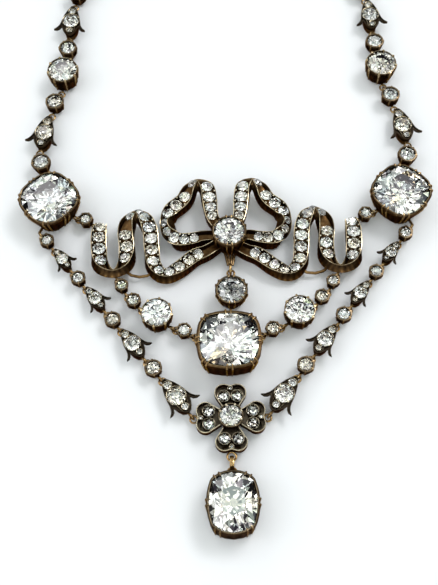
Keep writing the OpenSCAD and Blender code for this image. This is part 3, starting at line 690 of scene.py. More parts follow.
def bell_link(length, foot_first=False):
    parts = (0.54, 0.46) if foot_first else (0.46, 0.54)
    return {"kind": "bell", "size": length, "first": length * parts[0], "second": length * parts[1],
            "turn": -90 if foot_first else 90}


small_link = collet_link(2.0, 2.7)
medium_link = collet_link(3.3, 3.86, 0.75)
neck_links = [small_link, bell_link(8.76, True), small_link, medium_link] * 5
seen_turns = [75, 102, 108, 99, 88, 95, 105]
straight_turn = 87
straight_turns = [straight_turn] * 7
arch_count = len(neck_links) - len(seen_turns) - len(straight_turns)
arch_step = (180 - straight_turn) / arch_count
arch_turns = [straight_turn + (n + 0.5) * arch_step for n in range(arch_count)]
swag_links = [
    collet_link(1.45, 1.75), bell_link(5.75), collet_link(1.5, 1.8), bell_link(6.3),
    collet_link(1.6, 1.9), bell_link(7.55), collet_link(1.7, 2.0), bell_link(8.8)]
SWAG_TURN = -127.9
festoon_links = [
    collet_link(1.35, 1.67), collet_link(1.5, 1.67), collet_link(3.05, 3.55, 0.95), collet_link(1.5, 1.67)]
festoon_turns = [-118, -133, -147, -157]
bow_link = collet_link(1.45, 1.75)
BOW_LINK_TURN = 207
bow_link_at = Vector((28.6, 15.9))
bow_chain = [(bow_link, bow_link_at, BOW_LINK_TURN)]


def lay_chain(links, turns, start):
    joints = [Vector(start)]
    chain = []
    for link, turn in zip(links, turns):
        chain.append((link, joints[-1] + (RING_PITCH / 2 + link["first"]) * heading(turn), turn))
        joints.append(joints[-1] + (link["first"] + link["second"] + RING_PITCH) * heading(turn))
    return joints, chain


neck_joints, neck_chain = lay_chain(neck_links, seen_turns + straight_turns + arch_turns, (37.7, 26.6))
swag_joints, swag_chain = lay_chain(swag_links, [SWAG_TURN] * len(swag_links), (37.6, 12.9))
festoon_joints, festoon_chain = lay_chain(festoon_links, festoon_turns, (21.9, 2.67))
print("neck chain ends at", [round(c, 2) for c in neck_joints[-1]])

# %% Centre and side settings
side_at = Vector((35.8, 19.35))
SIDE_TURN = 48
CENTRE_H = 6.3
SIDE_H = 6.0

work = new_work()
setting(work, at(centre_at), centre_shape, CENTRE_H, tuck=0.1, claws=8, gilt=1.0, rim=0.7)
anchor_both(work, centre_at, festoon_joints[-1], festoon_turns[-1])
lay_down(work, "centre_setting", "gold")
# A painted orange flash lies on some facets of the centre stone
lay_stones(
    "centre_stone", [(centre_cut, at(centre_at, CENTRE_H - GIRDLE_DROP), 0.9)],
    [(centre_at + Vector((-1.6, -3.8)), PAINTED_FLASH_R, PAINTED_FLASH, 1.0)])

work = new_work()
setting(work, at(side_at, 0, SIDE_TURN), side_shape, SIDE_H, tuck=1.0, claws=8, gilt=0.75)
bow_link_start = bow_link_at - (RING_PITCH / 2 + bow_link["first"]) * heading(BOW_LINK_TURN)
bow_link_end = bow_link_at + (RING_PITCH / 2 + bow_link["second"]) * heading(BOW_LINK_TURN)
for joint, turn in ((neck_joints[0], seen_turns[0]), (swag_joints[0], SWAG_TURN),
                    (bow_link_start, BOW_LINK_TURN)):
    anchor(work, side_at, joint, turn, False)
lay_both(keep(work), "side_setting", "silver")
side_stone_at = at(side_at, SIDE_H - GIRDLE_DROP, SIDE_TURN)
# The right side stone has a painted orange flash on some facets
lay_stones(
    "side_stone_right", [(side_cut, side_stone_at, 0.9)],
    [(side_at + Vector((1.6, 2.9)), PAINTED_FLASH_R, PAINTED_FLASH, 1.0)])
lay_stones("side_stone_left", [(side_cut, HALVES["left"] @ side_stone_at, 1.0)])


# %% [markdown]
# ### Collets of the chains
# A chain collet is a small round cup, gold at the foot, with claws that flare as they climb. Each link
# is one collet or bell with a flat eye at its first end and an upright eye at its second, so the next
# link's eye can pass through.

# %% Collets
BELLY_Z = 1.0
# The small collets' rims are wider, and their stones as much smaller
SMALL_RIM = 0.16


def collet_height(radius):
    return 5.0 if radius > MEDIUM_FROM else 3.4 - (2 - radius) * 0.6


def collet(work, radius):
    height = collet_height(radius)
    medium = radius > MEDIUM_FROM
    outline = round_shape(radius)
    pit = FOIL if medium else BARE
    rim = 0 if medium else SMALL_RIM
    drawn_wall(work, outline, [
        (-0.5 * radius, 0.0, 0.8, 1.0), (-0.38 * radius, 0.3, 0.7, 0.95),
        (-0.14 * radius, BELLY_Z, 0.5, 0.8), (-0.08 * radius, height * 0.55, 0.35, 0.6),
        (-0.06, height - 0.6, 0.25, 0.5), (0.0, height - 0.5, 0.5, 0.4),
        (0.0, height - 0.2, 0.3, 0.3), (-0.08, height - 0.02, 0.7, 0.25),
        (-0.16 - rim, height, 0.95 - rim * 2, 0.2), (-0.24 - rim, height - 0.1, 0.3, 0.2),
        (-0.26 - rim, height - 0.4, 0.1, 0.2), (-0.27 - rim, height - 0.45, pit, 0.0),
        (-0.55 * radius, height - 0.45 - 0.45 * radius, pit, 0.0),
        (-0.88 * radius, height - 0.45 - 0.8 * radius, pit, 0.0)], 40 if medium else 24, fluted_rows=5)
    claws = 8 if medium else 6
    thick = 0.3 if medium else 0.18
    shine = 0.9 if medium else 0.8
    for n in range(claws):
        spots = [
            (-0.38 * radius, 0.3), (-0.13 * radius, BELLY_Z), (-0.04, height - 0.7),
            (-0.1, height - 0.05), (-0.36 - rim, height + 0.08)]
        climbing_wire(
            work, outline, (n + 0.5) * math.tau / claws, spots,
            [thick * k for k in (0.35, 0.5, 0.9, 1.0, 0.35)], 6,
            [shine * k for k in (0.7, 0.85, 0.9, 0.95, 1.0)], 0.4)


# %% [markdown]
# ### Bell flowers
# A bell flower is a thin plate cut in the outline of the flower, with a bright edge left standing, a
# blackened field inside it, and a hole under each stone. Deep cups hang in the holes and stand on a low
# keel. The outline is filled as one face, **inset_region** leaves the edge, a second inset sinks the
# field, and **bridge_loops** makes the walls of the holes.

# %% Bell flowers
BELL_FULL = 8.76
BELL_H = 2.9
BELL_LOW = 2.25
BELL_SINK = 0.4
KEEL_H = 1.25
bell_side = [
    (0.34, 3.75), (0.72, 3.2), (1.22, 2.3), (1.66, 1.2), (1.96, 0.1), (2.14, -0.9), (2.4, -1.7),
    (2.85, -2.4), (3.5, -2.95), (2.8, -2.95), (2.25, -2.6), (1.88, -2.0), (1.6, -2.75), (1.15, -3.45),
    (0.6, -4.05)]
keel_side = [(0.3, 3.1), (0.9, 2.0), (1.35, 0.6), (1.5, -0.8), (1.35, -2.2), (0.9, -3.3), (0.3, -3.7)]
bell_stones = [(-0.3, 1.82), (2.4, 0.76), (-2.95, 0.62)]
bell_fold = [(1.2, -1.75), (1.0, -2.4), (0.95, -3.1), (0.7, -3.75)]
bell_bar = [(-1.2, 1.42), (-0.6, 1.62), (0.0, 1.7), (0.6, 1.62), (1.2, 1.42)]


def both_sides(side_points, middle=()):
    return [*side_points, *middle, *[(-x, y) for x, y in reversed(side_points)]]


PLATE_SINK = 1.3
HOLE_PART = 0.92
HOLE_SIDES = 20
FIELD_WALL = 0.03
FOLD_R = 0.1
BAR_R = 0.09
BELL_BEAD_R = 0.2
BELL_LOOK = {"edge": 0.13, "gilt": 0.3, "edge_polish": 0.42, "field_polish": 0.3}


def raise_face(work, face, height):
    raised = bmesh.ops.extrude_face_region(work, geom=[face], use_keep_orig=True)["geom"]
    upper = verts_in(raised)
    bmesh.ops.translate(work, vec=(0, 0, height), verts=upper)
    return upper, [g for g in raised if isinstance(g, bmesh.types.BMFace)]


# The foot's and the top's finish are each a polish and a gilt
def block(work, outline, low, high, foot, top):
    verts = [work.verts.new((x, y, low)) for x, y in outline]
    face = work.faces.new(verts)
    set_finish(work, verts, *foot)
    upper, cap = raise_face(work, face, high - low)
    set_finish(work, upper, *top)
    return face, cap


def pierce(work, flat, holes):
    rim = list(flat.edges)
    level = flat.calc_center_median().z
    rings = []
    for place, radius in holes:
        ring = bmesh.ops.create_circle(
            work, segments=HOLE_SIDES, radius=radius, matrix=at(place, level))["verts"]
        set_finish(work, ring, 0.1, 0.2)
        rings.append(edges_of(ring))
    bmesh.ops.delete(work, geom=[flat], context="FACES_ONLY")
    bmesh.ops.triangle_fill(work, use_beauty=True, edges=rim + [e for ring in rings for e in ring])
    return rings


def plate(work, outline, low, high, edge, gilt, edge_polish, field_polish, sink=PLATE_SINK, holes=()):
    face, cap = block(work, outline, low, high, (0.2, gilt), (edge_polish, gilt * 0.4))
    bmesh.ops.recalc_face_normals(work, faces=work.faces)
    bmesh.ops.inset_region(work, faces=cap, thickness=edge, depth=0, use_even_offset=True)
    set_finish(work, {v for f in cap for v in f.verts}, edge_polish, gilt * 0.3)
    bmesh.ops.inset_region(work, faces=cap, thickness=FIELD_WALL, depth=-sink, use_even_offset=True)
    set_finish(work, {v for f in cap for v in f.verts}, field_polish, 0.0)
    if holes:
        for low_ring, high_ring in zip(pierce(work, face, holes), pierce(work, cap[0], holes)):
            bmesh.ops.bridge_loops(work, edges=low_ring + high_ring)


def collar(work, place, radius, high, pit=FOIL):
    part = new_work()
    low = high - max(PLATE_SINK, FLAT_DROP + 0.15 + FLAT_DEEP * radius)
    drawn_wall(part, round_shape(radius), [
        (-radius * 0.45, low - 0.15, 0.5, 0.8), (-radius * 0.2, high - 0.9, 0.3, 0.6),
        (0.15, high - 0.4, 0.1, 0.1), (0.13, high - 0.06, 0.7, 0.1),
        (0.09, high + 0.02, 1.0, 0.1), (0.04, high, 0.9, 0.1), (0.03, high - 0.28, 0.1, 0.1),
        (0.02, high - 0.32, pit, 0.0), (-radius * 0.9, low + 0.03, pit, 0.0)], 20)
    add_part(work, keep(part), at(place))


def ridge(work, points, top_z, radius, sink=PLATE_SINK):
    tall = sink / 2 / radius
    path = [Vector((x, y, top_z - sink / 2)) for x, y in points]
    radii = [radius * 0.7] + [radius] * (len(path) - 2) + [radius * 0.7]
    drawn_wire(work, path, radii, 8, [0.85] * len(path), 0.15, tall=tall)


def bell_metal():
    work = new_work()
    holes = [((0, y), radius * HOLE_PART) for y, radius in bell_stones]
    outline = both_sides(bell_side, [(0, -4.3)])
    plate(work, outline, BELL_LOW, BELL_H, sink=BELL_SINK, holes=holes, **BELL_LOOK)
    block(work, both_sides(keel_side), 0, KEEL_H, (0.5, 1.0), (0.2, 0.8))
    for y, radius in bell_stones:
        collar(work, (0, y), radius, BELL_H)
    for way in (-1, 1):
        ridge(work, [(way * x, y) for x, y in bell_fold], BELL_H, FOLD_R, BELL_SINK)
    ridge(work, bell_bar, BELL_H, BAR_R, BELL_SINK)
    top_y, top_r = bell_stones[0]
    for angle in range(30, 390, 60):
        spot = Vector((0, top_y)) + (top_r + 0.02) * heading(angle)
        bead(work, (*spot, BELL_H + 0.02), BELL_BEAD_R)
    return keep(work)


bell_part = bell_metal()
print("bell flower:", len(bell_part.polygons), "faces")


# %% Links
# A bell's posts reach this far in from its eyes
BELL_POST = 1.3
# A stone is this much smaller in radius than its cup
STONE_IN = 0.24
# The small and the bow stones' colour is darkened to these shares, partly as painted shade
SMALL_CLEAR_AND_SHADE = 0.8
STONE_LEAN = 3


def link_metal(link):
    work = new_work()
    first, second, size = link["first"], link["second"], link["size"]
    if link["kind"] == "collet":
        collet(work, size)
        inner = (size * 0.4, size * 0.4)
    else:
        k = size / BELL_FULL
        add_part(work, bell_part, at((0, 0), 0, link["turn"], (k, k, 1)))
        inner = (first - BELL_POST, second - BELL_POST)
    for start, end in ((EYE_R - first, -inner[0]), (second - EYE_R, inner[1])):
        straight_wire(work, (start, 0, EYE_Z), (end, 0, EYE_Z), POST_R, POST_GILT)
    eye(work, (-first, 0), EYE_Z, True)
    eye(work, (second, 0), EYE_Z, False)
    return keep(work)


def link_stones(link, spot):
    size = link["size"]
    if link["kind"] == "collet":
        medium = size > MEDIUM_FROM
        radius = size - (STONE_IN if medium else STONE_IN + SMALL_RIM)
        turn = 360 * chance.random()
        high = at((0, 0), collet_height(size) - GIRDLE_DROP, turn, (radius,) * 3)
        cut, clear_and_shade = (round_cut, link["clear_and_shade"]) if medium else (small_round_cut, SMALL_CLEAR_AND_SHADE)
        return [(cut, spot @ high @ tilted(STONE_LEAN), clear_and_shade)]
    k = size / BELL_FULL
    turned = spot @ at((0, 0), 0, link["turn"])
    placed = []
    for y, radius in bell_stones:
        turn = 360 * chance.random()
        high = at((0, y * k), BELL_H - FLAT_DROP, turn, (radius * k,) * 3)
        placed.append((flat_round_cut, turned @ high, 1.0))
    return placed


def lay_chain_stones(node, chain):
    for half, mirror in HALVES.items():
        placed = []
        for link, middle, turn in chain:
            placed += link_stones(link, mirror @ at(middle, 0, turn))
        lay_stones(f"{node}_{half}", placed)


def lay_chain_metal(node, chain):
    work = new_work()
    made = {}
    for link, middle, turn in chain:
        key = (link["kind"], link["size"])
        if key not in made:
            made[key] = link_metal(link)
        add_part(work, made[key], at(middle, 0, turn))
    lay_both(keep(work), node, "silver")


for name, chain in (("swag", swag_chain), ("festoon", festoon_chain)):
    for n, step in enumerate(chain):
        lay_chain_metal(f"{name}_link_{n + 1}", [step])
    lay_chain_stones(name + "_stones", chain)
lay_chain_metal("bow_link", bow_chain)
lay_chain_stones("bow_link_stone", bow_chain)
lay_chain_metal("neck_chain", neck_chain)
lay_chain_stones("neck_stones", neck_chain)

# %% [markdown]
# ## The bow
# The ribbon is a channel with two thin upright edges, swept along a smooth curve that rolls as it
# folds over. Two tables say where the ribbon runs on the right half, how high its face lies, how far
# it rolls, and how wide and deep it is. A Catmull-Rom curve through the rows gives every ring.

# %% Ribbon tables
# A row holds the place, and then how far the ribbon rolls, its width and its depth
ROLL, WIDTH, DEPTH = 3, 4, 5
tail_rows = [
    (25.3, 14.4, 3.5, 0, 2.3, 1.3), (25.7, 12.4, 3.6, 0, 3.1, 2.5), (25.6, 8.6, 3.3, 5, 3.2, 2.8),
    (24.9, 5.9, 2.9, 30, 2.9, 2.1), (22.8, 4.3, 2.7, 60, 2.7, 1.6), (20.8, 5.9, 2.9, 30, 2.9, 2.1),
    (20.1, 8.8, 3.3, 5, 3.1, 2.8), (20.4, 12.4, 3.8, 5, 3.1, 2.7), (20, 15, 4.1, 30, 3, 1.9),
    (18.1, 16.7, 4.3, 55, 2.8, 1.3), (16.3, 15.2, 4.1, 18, 3, 1.9), (15.3, 12.2, 3.7, 0, 3.1, 2.8),
    (15, 8.4, 3.3, 5, 3.1, 2.8), (14.4, 5.2, 2.9, 16, 2.9, 2.2), (12.5, 3.5, 2.7, 28, 2.7, 2.1),
    (9.6, 4.5, 3.1, 10, 2.9, 2.5), (6.4, 6.7, 3.5, 0, 2.9, 2.8), (4, 7.7, 3.6, 0, 2.5, 2.8),
    (1.4, 9.5, 3.4, 0, 2.2, 2.6)]
loop_rows = [
    (1.5, 12.7, 4.4, 0, 2.2, 2.6), (2.8, 15.4, 4.3, 0, 2.6, 2.6), (3.2, 19.2, 4.2, -5, 3.1, 2.6),
    (3.7, 22.2, 4.3, -18, 3, 1.9), (5.7, 23.7, 4.4, -55, 2.8, 1.3), (7.5, 22, 4.3, -30, 3, 1.8),
    (8.7, 19.4, 4, -10, 3.1, 2.6), (11.2, 17.2, 3.7, -5, 3.1, 2.7), (12.6, 14.8, 3.5, -48, 2.7, 2),
    (12.1, 12.3, 3.3, -42, 2.7, 2.1), (9.8, 10.7, 3.2, 0, 2.9, 2.8), (7, 10.7, 3.3, 0, 2.6, 2.8),
    (4.6, 11.2, 3.4, 0, 2.3, 2.8), (1.4, 11.3, 3.2, 0, 2, 2.6)]


def along(rows, t):
    n = max(0, min(int(t), len(rows) - 2))
    u = t - n
    a, b, c, d = (rows[max(0, min(len(rows) - 1, n + k))] for k in (-1, 0, 1, 2))
    return [
        0.5 * (2 * q + (r - p) * u + (2 * p - 5 * q + 4 * r - s) * u ** 2 + (3 * (q - r) - p + s) * u ** 3)
        for p, q, r, s in zip(a, b, c, d)]


def ribbon_frame(rows, t):
    row = along(rows, t)
    before, after = along(rows, max(t - 0.01, 0)), along(rows, min(t + 0.01, len(rows) - 1))
    run = Vector([q - p for p, q in zip(before, after)][:2]).normalized()
    roll = math.radians(row[ROLL])
    across = Vector((-run.y * math.cos(roll), run.x * math.cos(roll), math.sin(roll)))
    face = Vector((run.y * math.sin(roll), -run.x * math.sin(roll), math.cos(roll)))
    return row, (run.to_3d(), across, face)


# %% Ribbon
RIBBON_STEPS = 8
CHANNEL = 0.62
RIM_WIDTH = 0.17
# Every second ring of the outer walls is drawn in and painted darker, as painted shade in the groove, which
# makes them look rippled
RIPPLE_IN = 0.96
RIPPLE_PAINTED_SHADE = 0.3


def ribbon_section(width, depth):
    half, back = width / 2, width / 2 * 0.94
    inner = half - RIM_WIDTH
    side_points = [
        (back - 0.1, -depth, 0.6, 1.0), (back, -depth + 0.12, 0.65, 1.0),
        (half - 0.05, -depth * 0.4, 0.28, 0.8), (half, -0.2, 0.3, 0.5),
        (half - 0.03, -0.03, 0.9, 0.3), (inner + 0.04, 0.0, 1.1, 0.3),
        (inner, -0.08, 0.6, 0.4), (inner - 0.04, -depth * CHANNEL + 0.1, 0.35, 0.95),
        (inner - 0.2, -depth * CHANNEL, 0.45, 0.95)]
    return side_points + [(-w, d, p, g) for w, d, p, g in reversed(side_points)]


def ribbon(work, rows):
    ring, edges = start_ring(work, len(ribbon_section(1, 1)))
    first = edges
    for n in range((len(rows) - 1) * RIBBON_STEPS + 1):
        if n:
            ring, edges = draw_on(work, ring, edges)
        row, axes = ribbon_frame(rows, n / RIBBON_STEPS)
        across, face = axes[1:]
        for vert, (w, d, polish, gilt) in zip(ring, ribbon_section(row[WIDTH], row[DEPTH])):
            # A drawn-in ring of the outer wall also gets painted shade
            ripple = n % 2 and d < -0.1 and abs(w) > row[WIDTH] * 0.44
            vert.co = Vector(row[:3]) + across * w * (RIPPLE_IN if ripple else 1) + face * d
            set_finish(work, [vert], polish * (RIPPLE_PAINTED_SHADE if ripple else 1), gilt)
    close_ends(work, first, edges)


# %% [markdown]
# The ribbon's stones nearly touch, and between them the old setter raised small grains from the edge
# and pushed them over the stones. On a fold the channel tips away, and holds a few stones painted
# darker, as painted shade, and no grains.

# %% Ribbon stones and grains
STONE_SPACE = 0.34
ROLL_LIMIT = 29
GEM_CLEAR_AND_SHADE = 0.92
# Stones on a fold have their colour darkened to this share, as painted shade
FOLD_PAINTED_SHADE = 0.55
# Grains stand only between neighbours, not across the gap that a fold leaves
GRAIN_GAP = 1.3
GRAIN_R = 0.24
tail_runs = [(0.5, 7.3), (9.9, 16.7)]
loop_runs = [(0.95, 3.4), (5.8, 7.6), (9.7, 11.9)]
fold_runs = [(tail_rows, 8.3, 9.4), (loop_rows, 4.6, 5.3), (loop_rows, 8.2, 9.1)]


def ribbon_stone_r(rows, t):
    return along(rows, t)[WIDTH] / 2 - 0.5


def ribbon_seat(rows, t, sink):
    row, axes = ribbon_frame(rows, t)
    return Matrix.Translation(Vector(row[:3]) - sink * axes[2]) @ Matrix(axes).transposed().to_4x4()


def stone_places(rows, start, end, roll_limit=ROLL_LIMIT):
    places = []
    t = start
    while t <= end:
        if abs(along(rows, t)[ROLL]) < roll_limit:
            places.append(t)
        here = Vector(along(rows, t)[:3])
        ahead = t + 0.1
        while ((Vector(along(rows, ahead)[:3]) - here).length
               < ribbon_stone_r(rows, t) + ribbon_stone_r(rows, ahead) + STONE_SPACE):
            ahead += 0.02
        t = ahead
    return places


def ribbon_grains(work, rows, places):
    for start, end in zip(places, places[1:]):
        if end - start > GRAIN_GAP:
            continue
        row, axes = ribbon_frame(rows, (start + end) / 2)
        across, face = axes[1:]
        for way in (-1, 1):
            spot = Vector(row[:3]) + across * way * (row[WIDTH] / 2 - 0.36) - face * 0.02
            bead(work, spot, GRAIN_R)


bow_runs = [
    (rows, stone_places(rows, *run))
    for rows, runs in ((tail_rows, tail_runs), (loop_rows, loop_runs)) for run in runs]
half_gems = []
for rows, places in bow_runs:
    for t in places:
        radius = ribbon_stone_r(rows, t)
        size = Matrix.Diagonal((radius + 0.16, radius + 0.3, radius + 0.16, 1))
        spin = Matrix.Rotation(math.tau * chance.random(), 4, "Z")
        half_gems.append((ribbon_seat(rows, t, 0.08) @ tilted(5) @ size @ spin, GEM_CLEAR_AND_SHADE))
# The fold's stones are painted darker, as painted shade
for rows, start, end in fold_runs:
    for t in stone_places(rows, start, end, 90):
        size = Matrix.Scale(ribbon_stone_r(rows, t) + 0.12, 4)
        half_gems.append((ribbon_seat(rows, t, 0.2) @ size, FOLD_PAINTED_SHADE))
print("stones on half of the bow:", len(half_gems))
lay_stones("bow_stones", [
    (flat_round_cut, mirror @ spot, clear_and_shade) for mirror in HALVES.values() for spot, clear_and_shade in half_gems])

# %% Bow metal
SMALL_SETTING = {"claws": 6, "sides": 48, "claw_r": 0.2, "pit": BARE}
knot_at = Vector((0.6, 10.85))
drop_at = Vector((0.75, -1.6))
drop_ring_at = Vector((0.7, 4.5))
KNOT_H = 6.0
DROP_RING_R = 1.0
DROP_RING_Z = 1.35
STRUT_R = 0.3
LUG_R = 0.34
STEM_R = 0.27
# The stem's wires run from the drop's ring up to the knot
STEM_LOW = (0.45, 5.35, 1.3)
STEM_HIGH = (1.15, 8.8, 1.4)
strut_path = [(20.9, 5, 1.4), (19.2, 3.6, 1.3), (17.6, 3.2, 1.3), (16, 3.4, 1.3), (14.2, 4.6, 1.4)]

work = new_work()
for rows in (tail_rows, loop_rows):
    ribbon(work, rows)
for rows, places in bow_runs:
    ribbon_grains(work, rows, places)
drawn_wire(work, [Vector(p) for p in strut_path], [STRUT_R] * 5, 10, [0.6] * 5, 1.0)
for joint, turn, flat, lug_top in (
        (festoon_joints[0], festoon_turns[0], False, 2.1), (bow_link_end, BOW_LINK_TURN, True, 2.6)):
    lug = joint_eye(work, joint, turn, flat)
    path = [Vector((*lug, 0.67)), Vector((*lug, lug_top))]
    drawn_wire(work, path, [LUG_R, LUG_R], 12, [0.6, 0.4], 0.8, Vector((1, 0, 0)))
half_bow = keep(work)

work = new_work()
for mirror in HALVES.values():
    add_part(work, half_bow, mirror)
setting(work, at(knot_at, 0, 90), knot_shape, KNOT_H, tuck=0.5, gilt=0.8, **SMALL_SETTING)
eye(work, drop_ring_at, DROP_RING_Z, False, DROP_RING_R, wire=0.26, gilt=1.0, turn=90)
for lean in (-1, -0.35, 0.35, 1):
    low, high = ((drop_ring_at.x + lean * x, y, z) for x, y, z in (STEM_LOW, STEM_HIGH))
    straight_wire(work, low, high, STEM_R, gilt=0.6, polish=0.75)
lay_down(work, "bow_ribbon", "silver")
# The knot stone's colour is darkened, and more in its middle, as a painted dark reflection
lay_stones(
    "knot_stone", [(round_cut, at(knot_at, KNOT_H - GIRDLE_DROP, 11, (3.05,) * 3), 0.8)],
    [(knot_at, 0.6, PLAIN, 0.75)])

# %% Drop
DROP_H = 5.0
drop = new_work()
setting(drop, at((0, 0)), drop_shape, DROP_H, tuck=0.6, gilt=0.7, **SMALL_SETTING)
drop_eye_x = drop_ring_at.y - DROP_RING_R - drop_at.y
eye(drop, (drop_eye_x, 0), DROP_RING_Z, True, gilt=1.0)
straight_wire(drop, (1.4, 0, DROP_RING_Z), (drop_eye_x - EYE_R + 0.1, 0, DROP_RING_Z), 0.32, 0.9)
work = new_work()
add_part(work, keep(drop), at(drop_at, 0, 90))
lay_down(work, "bow_drop_setting", "silver")
# The drop stone's colour is darkened much, and more in its middle, as painted dark reflections
lay_stones(
    "bow_drop_stone", [(round_cut, at(drop_at, DROP_H - GIRDLE_DROP, 29, (2.75,) * 3), 0.6)],
    [(drop_at, 0.6, PLAIN, 0.35)])

# %% [markdown]
# ## The flower cluster
# Four heart shaped petals stand round a claw set stone. Each petal is a thick plate on two feet, with
# two collars for its stones, a third for the tiny stone in its notch, and two ridges that part the
# lobes.

# %% Petals
cluster_at = Vector((0, -26.75))
CLUSTER_H = 4.2
PETAL_LOW = 1.4
PETAL_TOP = 3.0
lobe_at = Vector((1.28, 4.75))
LOBE_R = 1.72
RIDGE_R = 0.1
lobe_ridge = [(0.04, 3.3), (0.1, 4.4), (0.5, 5.1), (1.1, 5.55), (1.75, 5.7)]
# The right, the left and the notch's stone: place and radius
petal_gems = [(1.25, 4.1, 1.08), (-1.25, 4.1, 1.08), (0, 5.62, 0.36)]
petal_turns = (0, 90, 180, 270)


def petal_metal():
    work = new_work()
    lobe = [lobe_at + LOBE_R * heading(angle) for angle in range(-24, 118, 12)]
    half = [(1.2, 1.5)] + [(p.x, p.y) for p in lobe if p.x > 0.5]
    plate(
        work, both_sides(half, [(0, 6.15)]), PETAL_LOW, PETAL_TOP, edge=0.16, gilt=0.3,
        edge_polish=0.97, field_polish=0.55)
    right, left, notch = petal_gems
    for way, (x, y, radius) in ((-1, left), (1, right)):
        collar(work, (x, y), radius, PETAL_TOP - 0.05, BARE)
        foot = new_work()
        drawn_wall(foot, round_shape(LOBE_R), [
            (-0.68, 0.0, 0.5, 0.9), (-0.5, 0.5, 0.4, 0.8), (-0.3, PETAL_LOW + 0.1, 0.2, 0.5)], 20)
        add_part(work, keep(foot), at((way * lobe_at.x, lobe_at.y)))
        ridge(work, [(way * x, y) for x, y in lobe_ridge], PETAL_TOP, RIDGE_R)
    collar(work, notch[:2], notch[2], PETAL_TOP - 0.05)
    return keep(work)


petal_part = petal_metal()
work = new_work()
for turn in petal_turns:
    add_part(work, petal_part, at(cluster_at, 0, turn))
flower_centre = new_work()
drawn_wall(flower_centre, cluster_shape, [
    (-0.2, 0.0, 0.5, 0.9), (-0.05, 1.0, 0.3, 0.7), (0.2, 3.0, 0.3, 0.4), (0.36, CLUSTER_H - 0.4, 0.5, 0.3),
    (0.36, CLUSTER_H - 0.1, 0.5, 0.2), (0.28, CLUSTER_H, 0.85, 0.2), (0.12, CLUSTER_H, 0.5, 0.2),
    (0.06, CLUSTER_H - 0.4, 0.1, 0.2), (0.05, CLUSTER_H - 0.45, FOIL, 0.0), (-1.0, 2.8, FOIL, 0.0),
    (-1.8, 2.2, FOIL, 0.0)], 40)
for n in range(8):
    spot = (cluster_shape[0] + 0.1) * heading(n * 45 + 22.5)
    bead(flower_centre, (*spot, CLUSTER_H + 0.02), 0.27, tall=1.2)
add_part(work, keep(flower_centre), at(cluster_at))
bail_at = Vector((0, -35.4))
BAIL_R = 1.45
BAIL_Z = 1.65
BAIL_EYE_R = 0.82
eye(work, bail_at + Vector((0, BAIL_R)), BAIL_Z, True, BAIL_EYE_R, gilt=1.0)
anchor_both(work, cluster_at, swag_joints[-1], SWAG_TURN)
lay_down(work, "cluster_setting", "silver")
placed = []
for turn in petal_turns:
    for x, y, r in petal_gems:
        high = at((x, y), PETAL_TOP - FLAT_DROP, 360 * chance.random(), (r, r, r))
        placed.append((rose_cut, at(cluster_at, 0, turn) @ high, 0.9))
lay_stones("cluster_stones", placed)
# The flower's centre stone is darker near its middle, a painted dark reflection
lay_stones(
    "cluster_centre_stone", [(round_cut, at(cluster_at, CLUSTER_H - GIRDLE_DROP, 8, (2.02,) * 3), 0.9)],
    [(cluster_at + Vector((-0.3, -0.6)), 0.7, PLAIN, 0.5)])

# %% Pendant and bail
pendant_at = Vector((0, -43.1))
PENDANT_H = 5.8
work = new_work()
setting(
    work, at(pendant_at), pendant_shape, PENDANT_H, tuck=-0.3, claws=6, gilt=0.45, sides=80, claw_r=0.2)
eye_y = bail_at.y - BAIL_R
eye(work, (0, eye_y), BAIL_Z, True, BAIL_EYE_R, gilt=1.0)
straight_wire(
    work, (0, pendant_at.y + 3.8, BAIL_Z), (0, eye_y - BAIL_EYE_R + 0.1, BAIL_Z), 0.38, 1.0)
lay_down(work, "pendant_setting", "silver")
lay_stones("pendant_stone", [(pendant_cut, at(pendant_at, PENDANT_H - GIRDLE_DROP), 0.98)])

work = new_work()
band = [(-0.15, -0.3), (-0.15, 0.3), (-0.1, 0.4), (0.1, 0.4)]
band += [(-x, -z) for x, z in band]
verts = [work.verts.new((BAIL_R + x, 0, z)) for x, z in band]
edges = [work.edges.new((verts[n], verts[(n + 1) % len(verts)])) for n in range(len(verts))]
bmesh.ops.spin(
    work, geom=verts + edges, cent=(0, 0, 0), axis=(0, 0, 1), angle=math.tau, steps=48, use_merge=True)
set_finish(work, work.verts, 0.85, 1.0)
bmesh.ops.transform(
    work, matrix=at(bail_at, BAIL_Z) @ Matrix.Rotation(math.pi / 2, 4, "Y"), verts=work.verts)
bmesh.ops.recalc_face_normals(work, faces=work.faces)
lay_down(work, "pendant_bail", "gold")

# %% [markdown]
# ## The clasp
# The photograph's top edge cuts the back of the chain off, so the clasp is a plain box clasp: a
# rounded box with softened edges and an eye at each end.

# %% Clasp
CLASP_W = 4.4
CLASP_H = 2.6
# The box ends this far before the eye at each of its ends
CLASP_NECK = 1.0
clasp_half = neck_joints[-1].x - RING_PITCH / 2
clasp_body = clasp_half - EYE_R - CLASP_NECK
work = new_work()
ring, edges = start_ring(work, 48)
for vert in ring:
    ahead = math.copysign(clasp_body - CLASP_W / 2, vert.co.x)
    vert.co = Vector((vert.co.x * CLASP_W / 2 + ahead, vert.co.y * CLASP_W / 2, 0))
raise_face(work, bmesh.ops.contextual_create(work, geom=edges)["faces"][0], CLASP_H)
rims = [e for e in work.edges if abs(e.verts[0].co.z - e.verts[1].co.z) < 1e-6]
bmesh.ops.bevel(
    work, geom=rims, offset=0.3, offset_type="OFFSET", segments=3, profile=0.5, affect="EDGES", material=-1)
set_finish(work, work.verts, 0.8, 1.0)
for way in (-1, 1):
    straight_wire(
        work, (way * (clasp_body - 1), 0, EYE_Z), (way * (clasp_half - EYE_R + 0.1), 0, EYE_Z), POST_R, 1.0)
    eye(work, (way * clasp_half, 0), EYE_Z, True, gilt=1.0)
part = keep(work)
work = new_work()
add_part(work, part, at((0, neck_joints[-1].y)))
